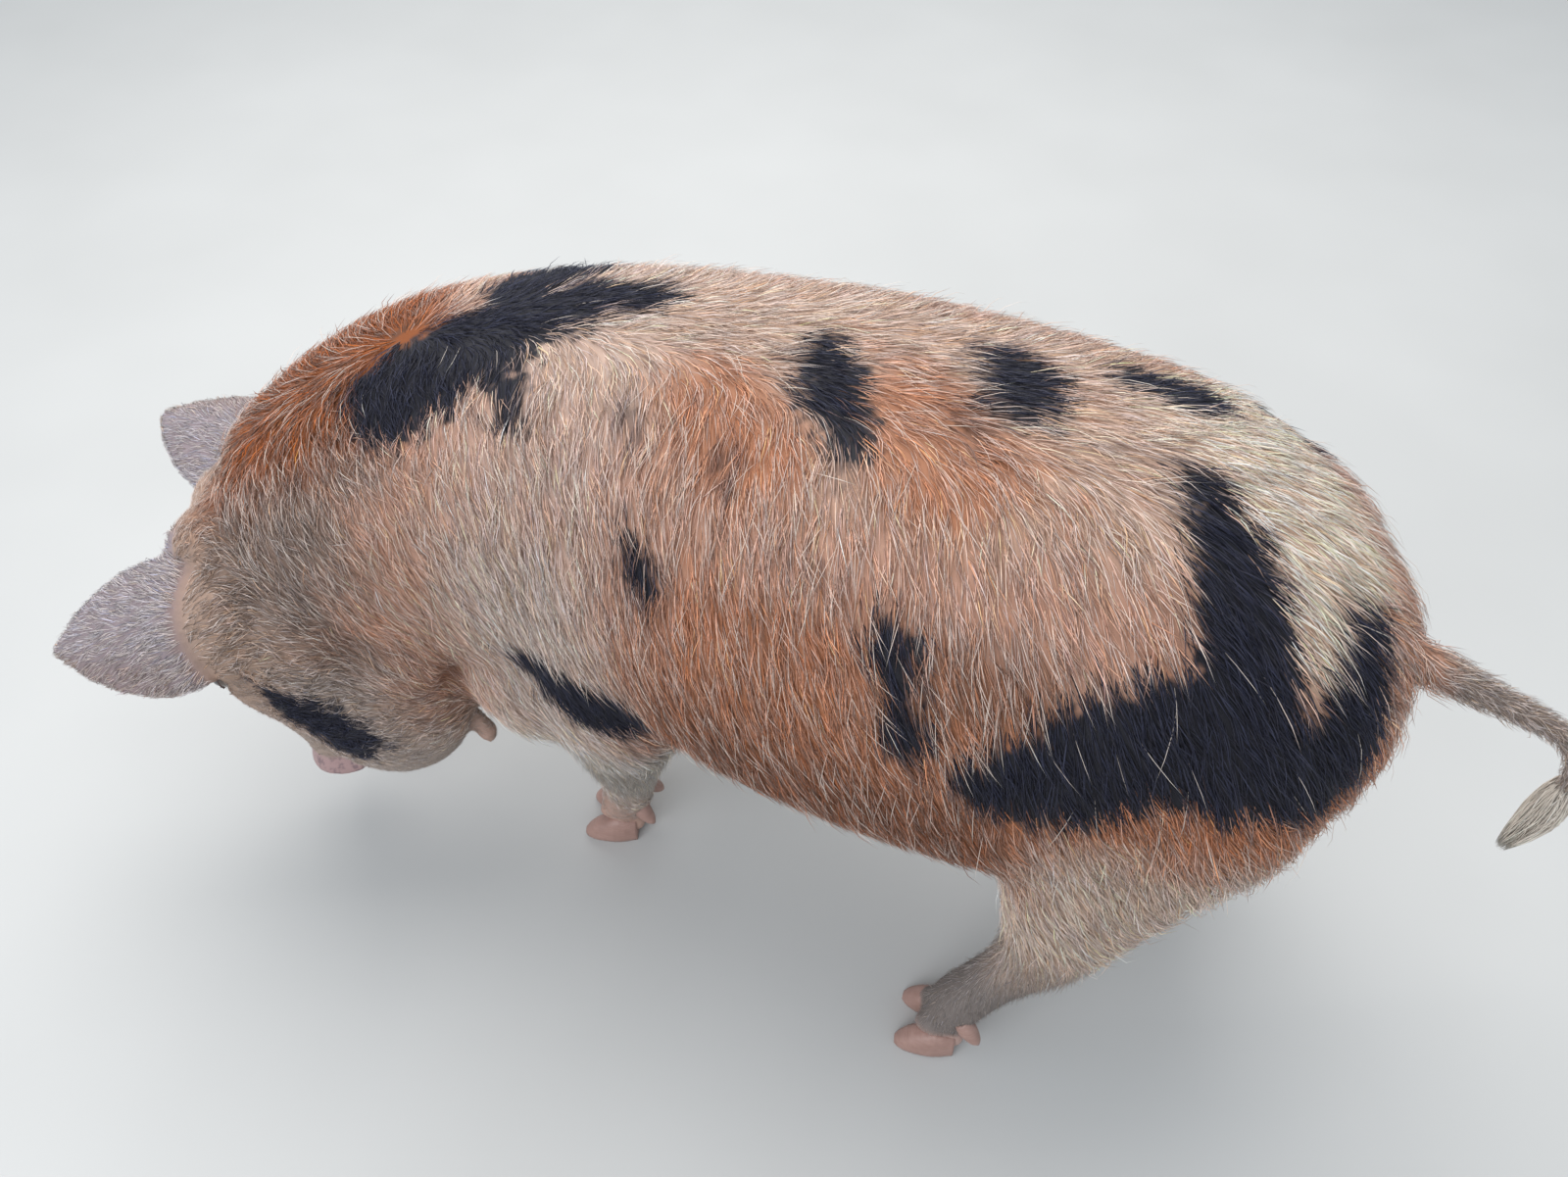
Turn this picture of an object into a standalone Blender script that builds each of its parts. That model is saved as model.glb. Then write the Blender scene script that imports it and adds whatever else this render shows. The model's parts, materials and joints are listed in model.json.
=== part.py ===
"""A kunekune pig, life size, grazing with its head down and turned a little to its left.

Frame: metres, +Z up, the head towards -X and the pig's left side towards -Y. The feet stand on z = 0.
The flesh is shaped whole from lofts and ellipsoids, fused, and parted with thin cuts.
"""

import math

import bmesh
import bpy
import numpy as np
from mathutils import Matrix, Vector
from mathutils.bvhtree import BVHTree

# Driving sizes
GAP = 0.0003  # between pieces that touch
BODY_VOXEL = 0.007
BODY_TRIANGLES = 3400
SMOOTHING = 8
MIDDLE = Vector((-0.1273, -0.0420, 0))  # what the origin under the middle takes off every place below

# Head: a frame that hangs from the poll, with U down the face, N out of the forehead and W to its left
POLL = Vector((-0.566, -0.156, 0.376))
HEAD_YAW = math.radians(20)
HEAD_PITCH = math.radians(97)
FORWARD = Vector((-math.cos(HEAD_YAW), -math.sin(HEAD_YAW), 0))
HEAD_U = (FORWARD * math.cos(HEAD_PITCH) - Vector((0, 0, 1)) * math.sin(HEAD_PITCH)).normalized()
HEAD_W = Vector((math.sin(HEAD_YAW), -math.cos(HEAD_YAW), 0))
HEAD_N = HEAD_U.cross(HEAD_W).normalized()
HEAD_AXES = Matrix((HEAD_U, HEAD_W, HEAD_N)).transposed().to_4x4()

# Spine, from rump to poll: x, y and z of the centre, half width, height up, depth down
COAT = 0.006  # how far the coat's outline stands over the flesh of the body
SPINE = [
    (0.318, 0.000, 0.400, 0.066, 0.058, 0.074),
    (0.288, 0.000, 0.402, 0.112, 0.102, 0.122),
    (0.230, 0.000, 0.402, 0.158, 0.147, 0.162),
    (0.150, 0.000, 0.401, 0.188, 0.181, 0.192),
    (0.030, 0.000, 0.401, 0.200, 0.190, 0.203),
    (-0.090, 0.000, 0.402, 0.195, 0.190, 0.203),
    (-0.190, 0.000, 0.403, 0.180, 0.182, 0.190),
    (-0.285, -0.010, 0.404, 0.164, 0.172, 0.176),
    (-0.375, -0.038, 0.396, 0.152, 0.158, 0.160),
    (-0.450, -0.074, 0.372, 0.138, 0.138, 0.138),
    (-0.515, -0.114, 0.338, 0.114, 0.112, 0.112),
]

# Head sections down the face: distance from the poll, half width, out of the forehead, back to the jaw
SKULL = [
    (-0.006, 0.050, 0.012, 0.085),
    (0.018, 0.076, 0.030, 0.112),
    (0.055, 0.088, 0.042, 0.134),
    (0.095, 0.090, 0.038, 0.146),
    (0.135, 0.085, 0.024, 0.144),
    (0.175, 0.071, 0.014, 0.126),
    (0.215, 0.059, 0.013, 0.102),
    (0.246, 0.050, 0.020, 0.080),
    (0.270, 0.046, 0.028, 0.052),
]
SNOUT_DISC = (0.290, 0.050, 0.040, -0.006)  # distance from the poll, half width, half height, out

# Legs: the joints' centres from the body down, with half width and half depth
LEGS = {
    "fore_left": [
        (-0.245, -0.096, 0.330, 0.060, 0.086),
        (-0.240, -0.104, 0.262, 0.052, 0.072),
        (-0.240, -0.102, 0.200, 0.040, 0.050),
        (-0.246, -0.094, 0.145, 0.032, 0.035),
        (-0.251, -0.087, 0.100, 0.026, 0.027),
        (-0.262, -0.080, 0.056, 0.027, 0.026),
        (-0.270, -0.077, 0.018, 0.022, 0.022),
    ],
    "fore_right": [
        (-0.225, 0.100, 0.330, 0.058, 0.082),
        (-0.208, 0.108, 0.262, 0.050, 0.066),
        (-0.200, 0.110, 0.200, 0.038, 0.046),
        (-0.200, 0.108, 0.145, 0.032, 0.035),
        (-0.198, 0.106, 0.100, 0.026, 0.027),
        (-0.206, 0.105, 0.056, 0.027, 0.026),
        (-0.214, 0.105, 0.018, 0.022, 0.022),
    ],
    "hind_left": [
        (0.185, -0.086, 0.350, 0.076, 0.100),
        (0.165, -0.114, 0.270, 0.056, 0.070),
        (0.160, -0.128, 0.200, 0.038, 0.046),
        (0.150, -0.134, 0.145, 0.028, 0.032),
        (0.120, -0.146, 0.095, 0.024, 0.026),
        (0.100, -0.154, 0.056, 0.026, 0.026),
        (0.088, -0.160, 0.018, 0.022, 0.022),
    ],
    "hind_right": [
        (0.205, 0.090, 0.350, 0.080, 0.112),
        (0.200, 0.114, 0.270, 0.060, 0.084),
        (0.206, 0.122, 0.200, 0.041, 0.052),
        (0.218, 0.124, 0.145, 0.031, 0.036),
        (0.200, 0.126, 0.095, 0.027, 0.028),
        (0.184, 0.128, 0.056, 0.027, 0.026),
        (0.176, 0.128, 0.018, 0.022, 0.022),
    ],
}

# Ears: base and tips in the head's frame
EAR_BASE = (0.022, 0.080, -0.034)
EAR_TIPS = {1: (0.070, 0.066, 0.154), -1: (0.010, 0.168, 0.122)}
EAR_CHORDS = {1: (0.62, 0.76, -0.10), -1: (-0.12, 0.86, -0.50)}  # across the flap, front edge to rear edge
# Along the ear: share of its length, half width, how deep the cup is, how far it arches outwards
EAR_SECTIONS = [
    (-0.16, 0.028, 0.026, -0.012),
    (-0.06, 0.042, 0.032, 0.001),
    (0.08, 0.052, 0.030, 0.009),
    (0.26, 0.057, 0.024, 0.014),
    (0.45, 0.052, 0.017, 0.015),
    (0.64, 0.040, 0.011, 0.012),
    (0.82, 0.024, 0.006, 0.007),
    (1.00, 0.003, 0.001, 0.000),
]
EAR_THICKNESS = 0.0055

EYE = (0.101, 0.0700, 0.0098)
EYE_LOOK = (-0.10, 0.84, 0.54)  # the way the left eye looks, in the head's frame
EYE_RADIUS = 0.0125

WATTLE = [(0.175, 0.046, -0.160), (0.196, 0.048, -0.170), (0.222, 0.050, -0.174), (0.236, 0.050, -0.174)]
WATTLE_RADII = [0.006, 0.0065, 0.0115, 0.006]
# The lids' mound and the opening between them: radii along the slit, across it and outwards
LIDS = (0.0250, 0.0190, 0.0152)
SLIT = (0.0128, 0.0060, 0.0110)
NOSTRIL = (0.294, 0.0175, -0.004)
NOSTRIL_RADII = (0.013, 0.0070, 0.0095)
# Along the snout's disc: shift down the face and share of its size
SNOUT_RINGS = [(-0.020, 0.86), (-0.010, 0.97), (-0.003, 1.0), (0.002, 0.97), (0.004, 0.86)]

# Cuts between pieces: middle, normal, and half extents across the two other ways
NECK_CUT = ((-0.352, -0.034, 0.385), (0.945, 0.290, 0.110), 0.225, 0.235)
HEAD_CUT = ((-0.452, -0.115, 0.315), (0.700, 0.255, 0.664), 0.170, 0.185)
LEG_CUTS = {
    "fore_left": ((-0.245, -0.098, 0.160), 0.062),
    "fore_right": ((-0.200, 0.110, 0.160), 0.062),
    "hind_left": ((0.157, -0.128, 0.195), 0.066),
    "hind_right": ((0.206, 0.122, 0.195), 0.066),
}

# Locks of bristles: how far apart their roots stand along the body and round it, and one lock's size
LOCK_ROW = 0.074
LOCK_STEP = 0.071
LOCK_LENGTH = 0.118
LOCK_WIDTH = 0.033
LOCK_LIFT = 0.010
LOCK_ROWS = (-0.475, 0.27)  # the roots' first and last place along the body
LOCK_ARC = math.radians(112)  # how far down each side of the back they reach
LOCK_CLEAR = 0.014  # how far behind the head's cut the first roots stand
TAIL_CLEAR = 0.034  # how far every lock stays from the middle of the tail
# Along a lock: share of its length, of its half width, then how high its top, edges and underside stand
LOCK_SECTIONS = [
    (0.00, 0.50, -0.30, -0.75, -1.20),
    (0.30, 1.00, 0.50, -0.15, -0.80),
    (0.62, 0.82, 0.85, 0.20, -0.30),
    (0.86, 0.42, 1.00, 0.65, 0.45),
]
SEED = 7

# The mouth: down the face and out, its corner and its front, then the radius of the lips
MOUTH_BACK = (0.186, -0.066)
MOUTH_FRONT = (0.300, -0.028)
LIP_RADIUS = 0.0034
MOUTH_GAP = 0.0010

# Tail: x, y, z and radius
TAIL = [
    (0.300, 0.000, 0.462, 0.017),
    (0.335, 0.001, 0.450, 0.014),
    (0.372, 0.008, 0.433, 0.0115),
    (0.407, 0.018, 0.415, 0.0100),
    (0.436, 0.029, 0.392, 0.0090),
    (0.455, 0.038, 0.364, 0.0080),
    (0.463, 0.043, 0.330, 0.0070),
]
SWITCH = [
    (0.463, 0.043, 0.332, 0.0085),
    (0.465, 0.045, 0.314, 0.0125),
    (0.465, 0.046, 0.290, 0.0135),
    (0.462, 0.047, 0.262, 0.0100),
    (0.458, 0.048, 0.238, 0.0040),
]
STRANDS = 5
STRAND_RADII = (0.004, 0.005, 0.0035, 0.0008)
STRAND_SPREAD = 0.004  # how far the tips stand out of the core
STRAND_STAGGER = 0.006  # how far each tip hangs below the one before it

# Hooves: each claw runs forward from the pastern, toe first
CLAW_LENGTH = 0.052
CLAW_WIDTH = 0.0125
CLAW_HEIGHT = 0.030
CLAW_SPREAD = math.radians(7)
DEWCLAW_RADII = (0.0075, 0.0085, 0.0055, 0.0015)
# Along the claw from its heel: share of the length, of the width and of the height
CLAW_SECTIONS = [(0, 0.75, 0.85), (0.35, 1.06, 1.0), (0.7, 0.94, 0.72), (0.9, 0.66, 0.42), (1, 0.3, 0.2)]
# Around the claw from its flat sole: shares of the half width and of the height
CLAW_OUTLINE = [(-0.92, 0), (0.92, 0), (1.0, 0.12), (0.94, 0.5), (0.62, 0.86)]
CLAW_OUTLINE += [(0, 1), (-0.62, 0.86), (-0.94, 0.5), (-1.0, 0.12)]
CLAW_APART = 0.002  # from the middle of the foot to each claw's inner side
HEEL = 0.016  # how far behind the middle of the foot the claws begin
# The root and tip of a dewclaw: behind the middle of the foot, to the side, and up
DEWCLAW = ((0.018, 0.013, 0.054), (0.036, 0.020, 0.032))
TOES_OUT = {"fore_left": 14, "fore_right": -8, "hind_left": 8, "hind_right": -10}

# Masses of muscle and fat: centre, radii along x, y and z
MASSES = [
    ((-0.225, -0.085, 0.375), (0.100, 0.085, 0.140)),
    ((-0.215, 0.085, 0.375), (0.100, 0.085, 0.140)),
    ((0.188, -0.076, 0.385), (0.108, 0.092, 0.142)),
    ((0.198, 0.080, 0.380), (0.112, 0.095, 0.145)),
    ((-0.350, -0.054, 0.268), (0.085, 0.088, 0.092)),
    ((-0.312, -0.096, 0.272), (0.070, 0.064, 0.098)),
    ((-0.420, -0.172, 0.302), (0.062, 0.034, 0.042)),
]

# Soft masses of the head: distance down the face, to the side and out, then the radii the same way
JOWL = ((0.160, 0.058, -0.105), (0.084, 0.054, 0.074))
CHEEK = ((0.125, 0.056, -0.062), (0.078, 0.044, 0.066))
BROW = ((0.076, 0.064, 0.004), (0.032, 0.024, 0.026))
CROWN = ((-0.004, 0.024, -0.052), (0.044, 0.050, 0.076))
EAR_ROOT = ((0.054, 0.083, -0.066), (0.050, 0.031, 0.050))


def clear_scene():
    for thing in list(bpy.data.objects):
        bpy.data.objects.remove(thing)


def link(name, mesh):
    made = bpy.data.objects.new(name, mesh)
    bpy.context.scene.collection.objects.link(made)
    return made


def object_from(name, bm):
    bmesh.ops.recalc_face_normals(bm, faces=bm.faces)
    bmesh.ops.triangulate(bm, faces=bm.faces)
    mesh = bpy.data.meshes.new(name)
    bm.to_mesh(mesh)
    bm.free()
    return link(name, mesh)


def apply_modifiers(thing):
    graph = bpy.context.evaluated_depsgraph_get()
    mesh = bpy.data.meshes.new_from_object(thing.evaluated_get(graph))
    thing.modifiers.clear()
    thing.data = mesh


def through(rows, steps):
    """Rows of numbers joined by a smooth curve, with this many steps between each two."""
    keys = np.array(rows, float)
    padded = np.vstack([2 * keys[0] - keys[1], keys, 2 * keys[-1] - keys[-2]])
    made = []
    for i in range(1, len(padded) - 2):
        before, start, end, after = padded[i - 1 : i + 3]
        for t in np.arange(steps) / steps:
            made.append(
                0.5
                * (
                    2 * start
                    + (end - before) * t
                    + (2 * before - 5 * start + 4 * end - after) * t * t
                    + (3 * start - before - 3 * end + after) * t**3
                )
            )
    made.append(keys[-1])
    return np.array(made)


def loft(name, rings):
    """A closed tube through rings of points."""
    bm = bmesh.new()
    loops = [[bm.verts.new(point) for point in ring] for ring in rings]
    for above, below in zip(loops, loops[1:]):
        for i in range(len(above)):
            j = (i + 1) % len(above)
            bm.faces.new((above[i], above[j], below[j], below[i]))
    for ring in (loops[0], loops[-1]):
        bm.faces.new(ring)
    return object_from(name, bm)


def oval(centre, side, up, half_width, rise, drop, sides=28, power=2.2):
    """A ring whose upper and lower halves have their own height, a little squarer than an ellipse."""
    points = []
    for i in range(sides):
        angle = 2 * math.pi * i / sides
        c, s = math.cos(angle), math.sin(angle)
        reach = (abs(c) ** power + abs(s) ** power) ** (-1 / power)
        height = rise if s > 0 else drop
        points.append(Vector(centre) + side * (c * reach * half_width) + up * (s * reach * height))
    return points


def ellipsoid(name, centre, radii, turn=None, segments=24):
    bm = bmesh.new()
    bmesh.ops.create_uvsphere(bm, u_segments=segments, v_segments=segments // 2 + 1, radius=1)
    place = Matrix.Translation(centre) @ (turn or Matrix.Identity(4)) @ Matrix.Diagonal((*radii, 1))
    bmesh.ops.transform(bm, matrix=place, verts=bm.verts)
    return object_from(name, bm)


def head_point(u, w, n):
    return POLL + HEAD_U * u + HEAD_W * w + HEAD_N * n


def make_spine():
    rows = through(SPINE, 5)
    rings = []
    for i, (x, y, z, width, rise, drop) in enumerate(rows):
        ahead, behind = rows[min(i + 1, len(rows) - 1)], rows[max(i - 1, 0)]
        along = Vector(ahead[:3] - behind[:3]).normalized()
        side = along.cross(Vector((0, 0, 1))).normalized()
        rings.append(oval((x, y, z), side, side.cross(along), width - COAT, rise - COAT, drop - COAT))
    return loft("spine", rings)


def make_skull():
    rings = []
    for u, width, out, back in through(SKULL, 4):
        rings.append(oval(head_point(u, 0, 0), HEAD_W, HEAD_N, width, out, back))
    return loft("skull", rings)


def make_cheeks():
    made = []
    for side in (1, -1):
        for (u, w, n), radii in (JOWL, CHEEK, BROW, CROWN, EAR_ROOT):
            made.append(ellipsoid("cheek", head_point(u, side * w, n), radii, HEAD_AXES))
    return made


def make_leg(name):
    rings = []
    toes = math.radians(TOES_OUT[name])
    rows = through(LEGS[name], 4)
    for i, (x, y, z, width, depth) in enumerate(rows):
        turn = toes * i / (len(rows) - 1)
        side = Vector((math.sin(turn), -math.cos(turn), 0))
        rings.append(oval((x, y, z), side, side.cross(Vector((0, 0, 1))), width, depth, depth, 20))
    return loft(name, rings)


def fused(name, pieces, voxel, smoothing):
    """The pieces as one closed surface, with the creases between them softened."""
    bm = bmesh.new()
    for piece in pieces:
        bm.from_mesh(piece.data)
        bpy.data.objects.remove(piece)
    body = object_from(name, bm)
    remesh = body.modifiers.new("fuse", "REMESH")
    remesh.mode = "VOXEL"
    remesh.voxel_size = voxel
    remesh.adaptivity = 0
    soften = body.modifiers.new("soften", "SMOOTH")
    soften.factor = 0.5
    soften.iterations = smoothing
    apply_modifiers(body)
    return body


def flesh(voxel, smoothing):
    pieces = [make_spine(), make_skull(), *make_cheeks()]
    pieces += [make_leg(name) for name in LEGS]
    pieces += [ellipsoid("mass", centre, radii) for centre, radii in MASSES]
    return fused("flesh", pieces, voxel, smoothing)


def make_ear(side):
    """A cupped flap, thick at its root and thin at its rim."""
    base = head_point(EAR_BASE[0], side * EAR_BASE[1], EAR_BASE[2])
    tip = head_point(EAR_TIPS[side][0], side * EAR_TIPS[side][1], EAR_TIPS[side][2])
    along = tip - base
    down, sideways, forward = EAR_CHORDS[side]
    chord = HEAD_U * down + HEAD_W * side * sideways + HEAD_N * forward
    chord = (chord - along.normalized() * chord.dot(along.normalized())).normalized()
    out = chord.cross(along).normalized()
    if out.z < 0:
        out.negate()
    rings = []
    for share, width, cup, arch in through(EAR_SECTIONS, 2):
        centre = base + along * share + out * arch
        thick = EAR_THICKNESS * (1.2 - share * 0.6)
        bows = [(math.sin(math.pi * (i / 6 - 0.5)), 1) for i in range(7)]
        bows += [(across * 0.86, 0) for across, _ in reversed(bows[1:-1])]
        ring = []
        for across, outer in bows:
            rise = cup * (1 - across * across) + (0 if outer else -thick * (1 - across * across) - 0.0006)
            ring.append(centre + chord * (across * width) + out * rise)
        rings.append(ring)
    return loft("ear_left" if side > 0 else "ear_right", rings)


def pipe(name, points, radii, sides=16):
    rings = []
    for i, point in enumerate(points):
        along = (points[min(i + 1, len(points) - 1)] - points[max(i - 1, 0)]).normalized()
        side = along.cross(Vector((0, 1, 0))).normalized()
        rings.append(oval(point, side, side.cross(along), radii[i], radii[i], radii[i], sides, 2))
    return loft(name, rings)


def make_tail():
    rows = through(TAIL, 2)
    return pipe("tail", [Vector(row[:3]) for row in rows], [row[3] for row in rows], 10)


def make_switch():
    """The brush of long hair that ends the tail: a core with strands round it."""
    rows = through(SWITCH, 2)
    switch = pipe("tail_switch", [Vector(row[:3]) for row in rows], [row[3] for row in rows], 8)
    strands = []
    for i in range(STRANDS):
        angle = 2 * math.pi * i / STRANDS
        out = Vector((math.cos(angle), math.sin(angle), 0))
        points = []
        for share in (0.12, 0.4, 0.7, 1.0):
            row = rows[int(share * (len(rows) - 1))]
            place = Vector(row[:3]) + out * (row[3] * 0.75 + STRAND_SPREAD * share)
            points.append(place - Vector((0, 0, STRAND_STAGGER * share * (i % 3))))
        strands.append(pipe("strand", points, STRAND_RADII, 5))
    combine(switch, strands, "UNION")
    keep_largest(switch)
    return switch


def foot_frame(leg):
    """The middle of a foot's sole, the way its toes point and its outer side."""
    x, y, z = LEGS[leg][-1][:3]
    turn = math.radians(TOES_OUT[leg]) + math.pi
    toes = Vector((math.cos(turn), math.sin(turn), 0))
    return Vector((x, y, 0)), toes, Vector((-toes.y, toes.x, 0))


def outer_or_inner(leg, side):
    return "outer" if (side > 0) == leg.endswith("left") else "inner"


def make_claw(leg, side):
    """One of the two claws that a foot stands on, with a flat sole."""
    foot, toes, across = foot_frame(leg)
    turned = (toes + across * side * math.tan(CLAW_SPREAD)).normalized()
    beside = Vector((-turned.y, turned.x, 0))
    heel = foot - toes * HEEL + across * side * (CLAW_WIDTH + CLAW_APART)
    rings = []
    for share, width, height in CLAW_SECTIONS:
        centre = heel + turned * (CLAW_LENGTH * share)
        rings.append([
            centre + beside * (CLAW_WIDTH * width * w) + Vector((0, 0, CLAW_HEIGHT * height * h))
            for w, h in CLAW_OUTLINE
        ])
    return loft(f"claw_{leg}_{outer_or_inner(leg, side)}", rings)


def make_dewclaw(leg, side):
    foot, toes, across = foot_frame(leg)
    root, tip = (foot - toes * back + across * side * out + Vector((0, 0, up)) for back, out, up in DEWCLAW)
    points = [root.lerp(tip, share) for share in (0, 0.35, 0.8, 1)]
    return pipe(f"dewclaw_{leg}_{outer_or_inner(leg, side)}", points, DEWCLAW_RADII, 8)


def eye_place(side):
    """The middle of an eye, and a turn of x along its slit, y across it and z the way it looks."""
    middle = head_point(EYE[0], side * EYE[1], EYE[2])
    look = (HEAD_U * EYE_LOOK[0] + HEAD_W * side * EYE_LOOK[1] + HEAD_N * EYE_LOOK[2]).normalized()
    slit = (HEAD_U - look * look.dot(HEAD_U)).normalized()
    return middle, Matrix((slit, look.cross(slit), look)).transposed().to_4x4()


def make_eye(side):
    middle, turn = eye_place(side)
    return ellipsoid("eye_left" if side > 0 else "eye_right", middle, (EYE_RADIUS,) * 3, turn, 14)


def make_wattle(side):
    points = [head_point(u, side * w, n) for u, w, n in WATTLE]
    return pipe("wattle_left" if side > 0 else "wattle_right", points, WATTLE_RADII, 8)


def make_snout():
    """The flat disc that ends the muzzle."""
    u, width, height, out = SNOUT_DISC
    rings = []
    for shift, scale in SNOUT_RINGS:
        centre, tall = head_point(u + shift, 0, out), height * scale
        rings.append(oval(centre, HEAD_W, HEAD_N, width * scale, tall, tall, 24, 2.4))
    return loft("snout", rings)


def make_lids(side):
    middle, turn = eye_place(side)
    return ellipsoid("lids", middle, LIDS, turn, 14)


def make_slit(side):
    middle, turn = eye_place(side)
    return ellipsoid("slit", middle + turn.col[2].xyz * EYE_RADIUS, SLIT, turn, 14)


def coat_lie(point, normal):
    """The way the hair lies: back along the spine, down and back on the sides, down on the rump and legs."""
    steep = math.sqrt(max(0, 1 - normal.z**2))
    down = 0.85 * steep + max(0, point.x - 0.12) * 6 * steep
    forward = max(0, -0.30 - point.x)
    lie = Vector((1, -0.25 - 1.2 * forward if point.y > 0 else 0.5 * forward, -down))
    return (lie - normal * lie.dot(normal)).normalized()


def make_lock(skin, root, turn, length, half_width, lift):
    """A flat tapered lock that leaves the skin at its root, bends and follows the body to a raised tip."""
    point, normal, _, _ = skin.find_nearest(root)
    bm = bmesh.new()
    rings, done = [], 0.0
    for share, width, top, edge, under in LOCK_SECTIONS + [(1.0, 0, 0.95, 0.95, 0.95)]:
        along = coat_lie(point, normal)
        along.rotate(Matrix.Rotation(turn * (0.4 + share), 3, normal))
        point, normal, _, _ = skin.find_nearest(point + along * (length * (share - done)))
        done = share
        if width == 0:
            rings.append([bm.verts.new(point + normal * lift * top)])
            break
        side = normal.cross(along).normalized()
        ring = [point + normal * lift * top]
        for way in (1, -1):
            beside, out, _, _ = skin.find_nearest(point + side * way * half_width * width)
            ring.append(beside + out * lift * edge)
        ring = [ring[1], ring[0], ring[2], point + normal * lift * under]
        rings.append([bm.verts.new(place) for place in ring])
    for above, below in zip(rings, rings[1:]):
        for i in range(4):
            j = (i + 1) % 4
            if len(below) == 1:
                bm.faces.new((above[i], above[j], below[0]))
            else:
                bm.faces.new((above[i], above[j], below[j], below[i]))
    bm.faces.new(rings[0])
    return object_from("lock", bm)


def make_locks(body):
    """Rows of locks from the neck to the rump, staggered like shingles."""
    rng = np.random.default_rng(SEED)
    bm = bmesh.new()
    bm.from_mesh(body.data)
    skin = BVHTree.FromBMesh(bm)
    spine = through(SPINE, 5)
    spine = spine[np.argsort(spine[:, 0])]
    tail = [Vector(row[:3]) for row in TAIL]
    made = []
    rows = int((LOCK_ROWS[1] - LOCK_ROWS[0]) / LOCK_ROW) + 1
    for row in range(rows):
        x = LOCK_ROWS[0] + row * LOCK_ROW
        centre = Vector([np.interp(x, spine[:, 0], spine[:, k]) for k in range(3)])
        radius = np.interp(x, spine[:, 0], spine[:, 3])
        count = int(2 * LOCK_ARC * radius / LOCK_STEP)
        for i in range(count):
            share = (i + 0.5 + 0.5 * (row % 2 - 0.5)) / count
            angle = (share * 2 - 1) * LOCK_ARC + rng.normal(0, 0.04)
            out = Vector((0, math.sin(angle), math.cos(angle)))
            ahead = Vector((rng.normal(0, 0.006), 0, 0))
            hit, _, _, _ = skin.ray_cast(centre + ahead + out * 0.6, -out)
            if (hit - Vector(HEAD_CUT[0])).dot(Vector(HEAD_CUT[1])) < LOCK_CLEAR:
                continue
            turn, length, width, lift = rng.normal((0, 1, 1, 1), (0.16, 0.08, 0.08, 0.12))
            lock = make_lock(skin, hit, turn, LOCK_LENGTH * length, LOCK_WIDTH * width, LOCK_LIFT * lift)
            if min((vertex.co - place).length for vertex in lock.data.vertices for place in tail) > TAIL_CLEAR:
                made.append(lock)
            else:
                bpy.data.objects.remove(lock)
    bm.free()
    return made


def slab(middle, normal, wide, tall, thick=GAP):
    """A thin box for a cut, standing across this normal."""
    normal = Vector(normal).normalized()
    side = normal.cross(Vector((0, 0, 1))).normalized()
    if side.length < 0.5:
        side = Vector((0, 1, 0))
    up = side.cross(normal)
    bm = bmesh.new()
    bmesh.ops.create_cube(bm, size=2)
    turn = Matrix((normal, side, up)).transposed().to_4x4()
    place = Matrix.Translation(middle) @ turn @ Matrix.Diagonal((thick / 2, wide, tall, 1))
    bmesh.ops.transform(bm, matrix=place, verts=bm.verts)
    return object_from("cut", bm)


def leg_slab(leg):
    """A thin disc across the top of a leg, which stays clear of the belly."""
    middle, radius = LEG_CUTS[leg]
    bm = bmesh.new()
    bmesh.ops.create_cone(bm, cap_ends=True, segments=24, radius1=radius, radius2=radius, depth=GAP)
    bmesh.ops.translate(bm, vec=middle, verts=bm.verts)
    return object_from("cut", bm)


def mouth_slab():
    """The thin slit of the closed mouth, open at the front and on both sides."""
    corner, front = head_point(MOUTH_BACK[0], 0, MOUTH_BACK[1]), head_point(MOUTH_FRONT[0], 0, MOUTH_FRONT[1])
    along = (front - corner).normalized()
    bm = bmesh.new()
    bmesh.ops.create_cube(bm, size=2)
    turn = Matrix((along, HEAD_W, along.cross(HEAD_W))).transposed().to_4x4()
    size = ((front - corner).length / 2, 0.13, MOUTH_GAP / 2)
    place = Matrix.Translation((front + corner) / 2) @ turn @ Matrix.Diagonal((*size, 1))
    bmesh.ops.transform(bm, matrix=place, verts=bm.verts)
    return object_from("cut", bm)


def make_lips(body):
    """A ridge on each side, just over the line of the mouth."""
    bm = bmesh.new()
    bm.from_mesh(body.data)
    skin = BVHTree.FromBMesh(bm)
    made = []
    for side in (1, -1):
        points = []
        for i in range(7):
            share = 0.05 + 0.64 * i / 6
            u = MOUTH_BACK[0] + (MOUTH_FRONT[0] - MOUTH_BACK[0]) * share
            n = MOUTH_BACK[1] + (MOUTH_FRONT[1] - MOUTH_BACK[1]) * share + LIP_RADIUS * 1.1
            hit, _, _, _ = skin.ray_cast(head_point(u, side * 0.15, n), HEAD_W * -side)
            points.append(hit)
        made.append(pipe("lip", points, [LIP_RADIUS * (0.6 + 0.1 * i) for i in range(7)], 6))
    bm.free()
    return made


def pushed(thing, distance=GAP):
    """A copy whose surface stands this far out of the first one's."""
    mesh = thing.data.copy()
    normals = [Vector(vertex.normal) for vertex in mesh.vertices]
    for vertex, normal in zip(mesh.vertices, normals):
        vertex.co += normal * distance
    return link("pushed", mesh)


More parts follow.
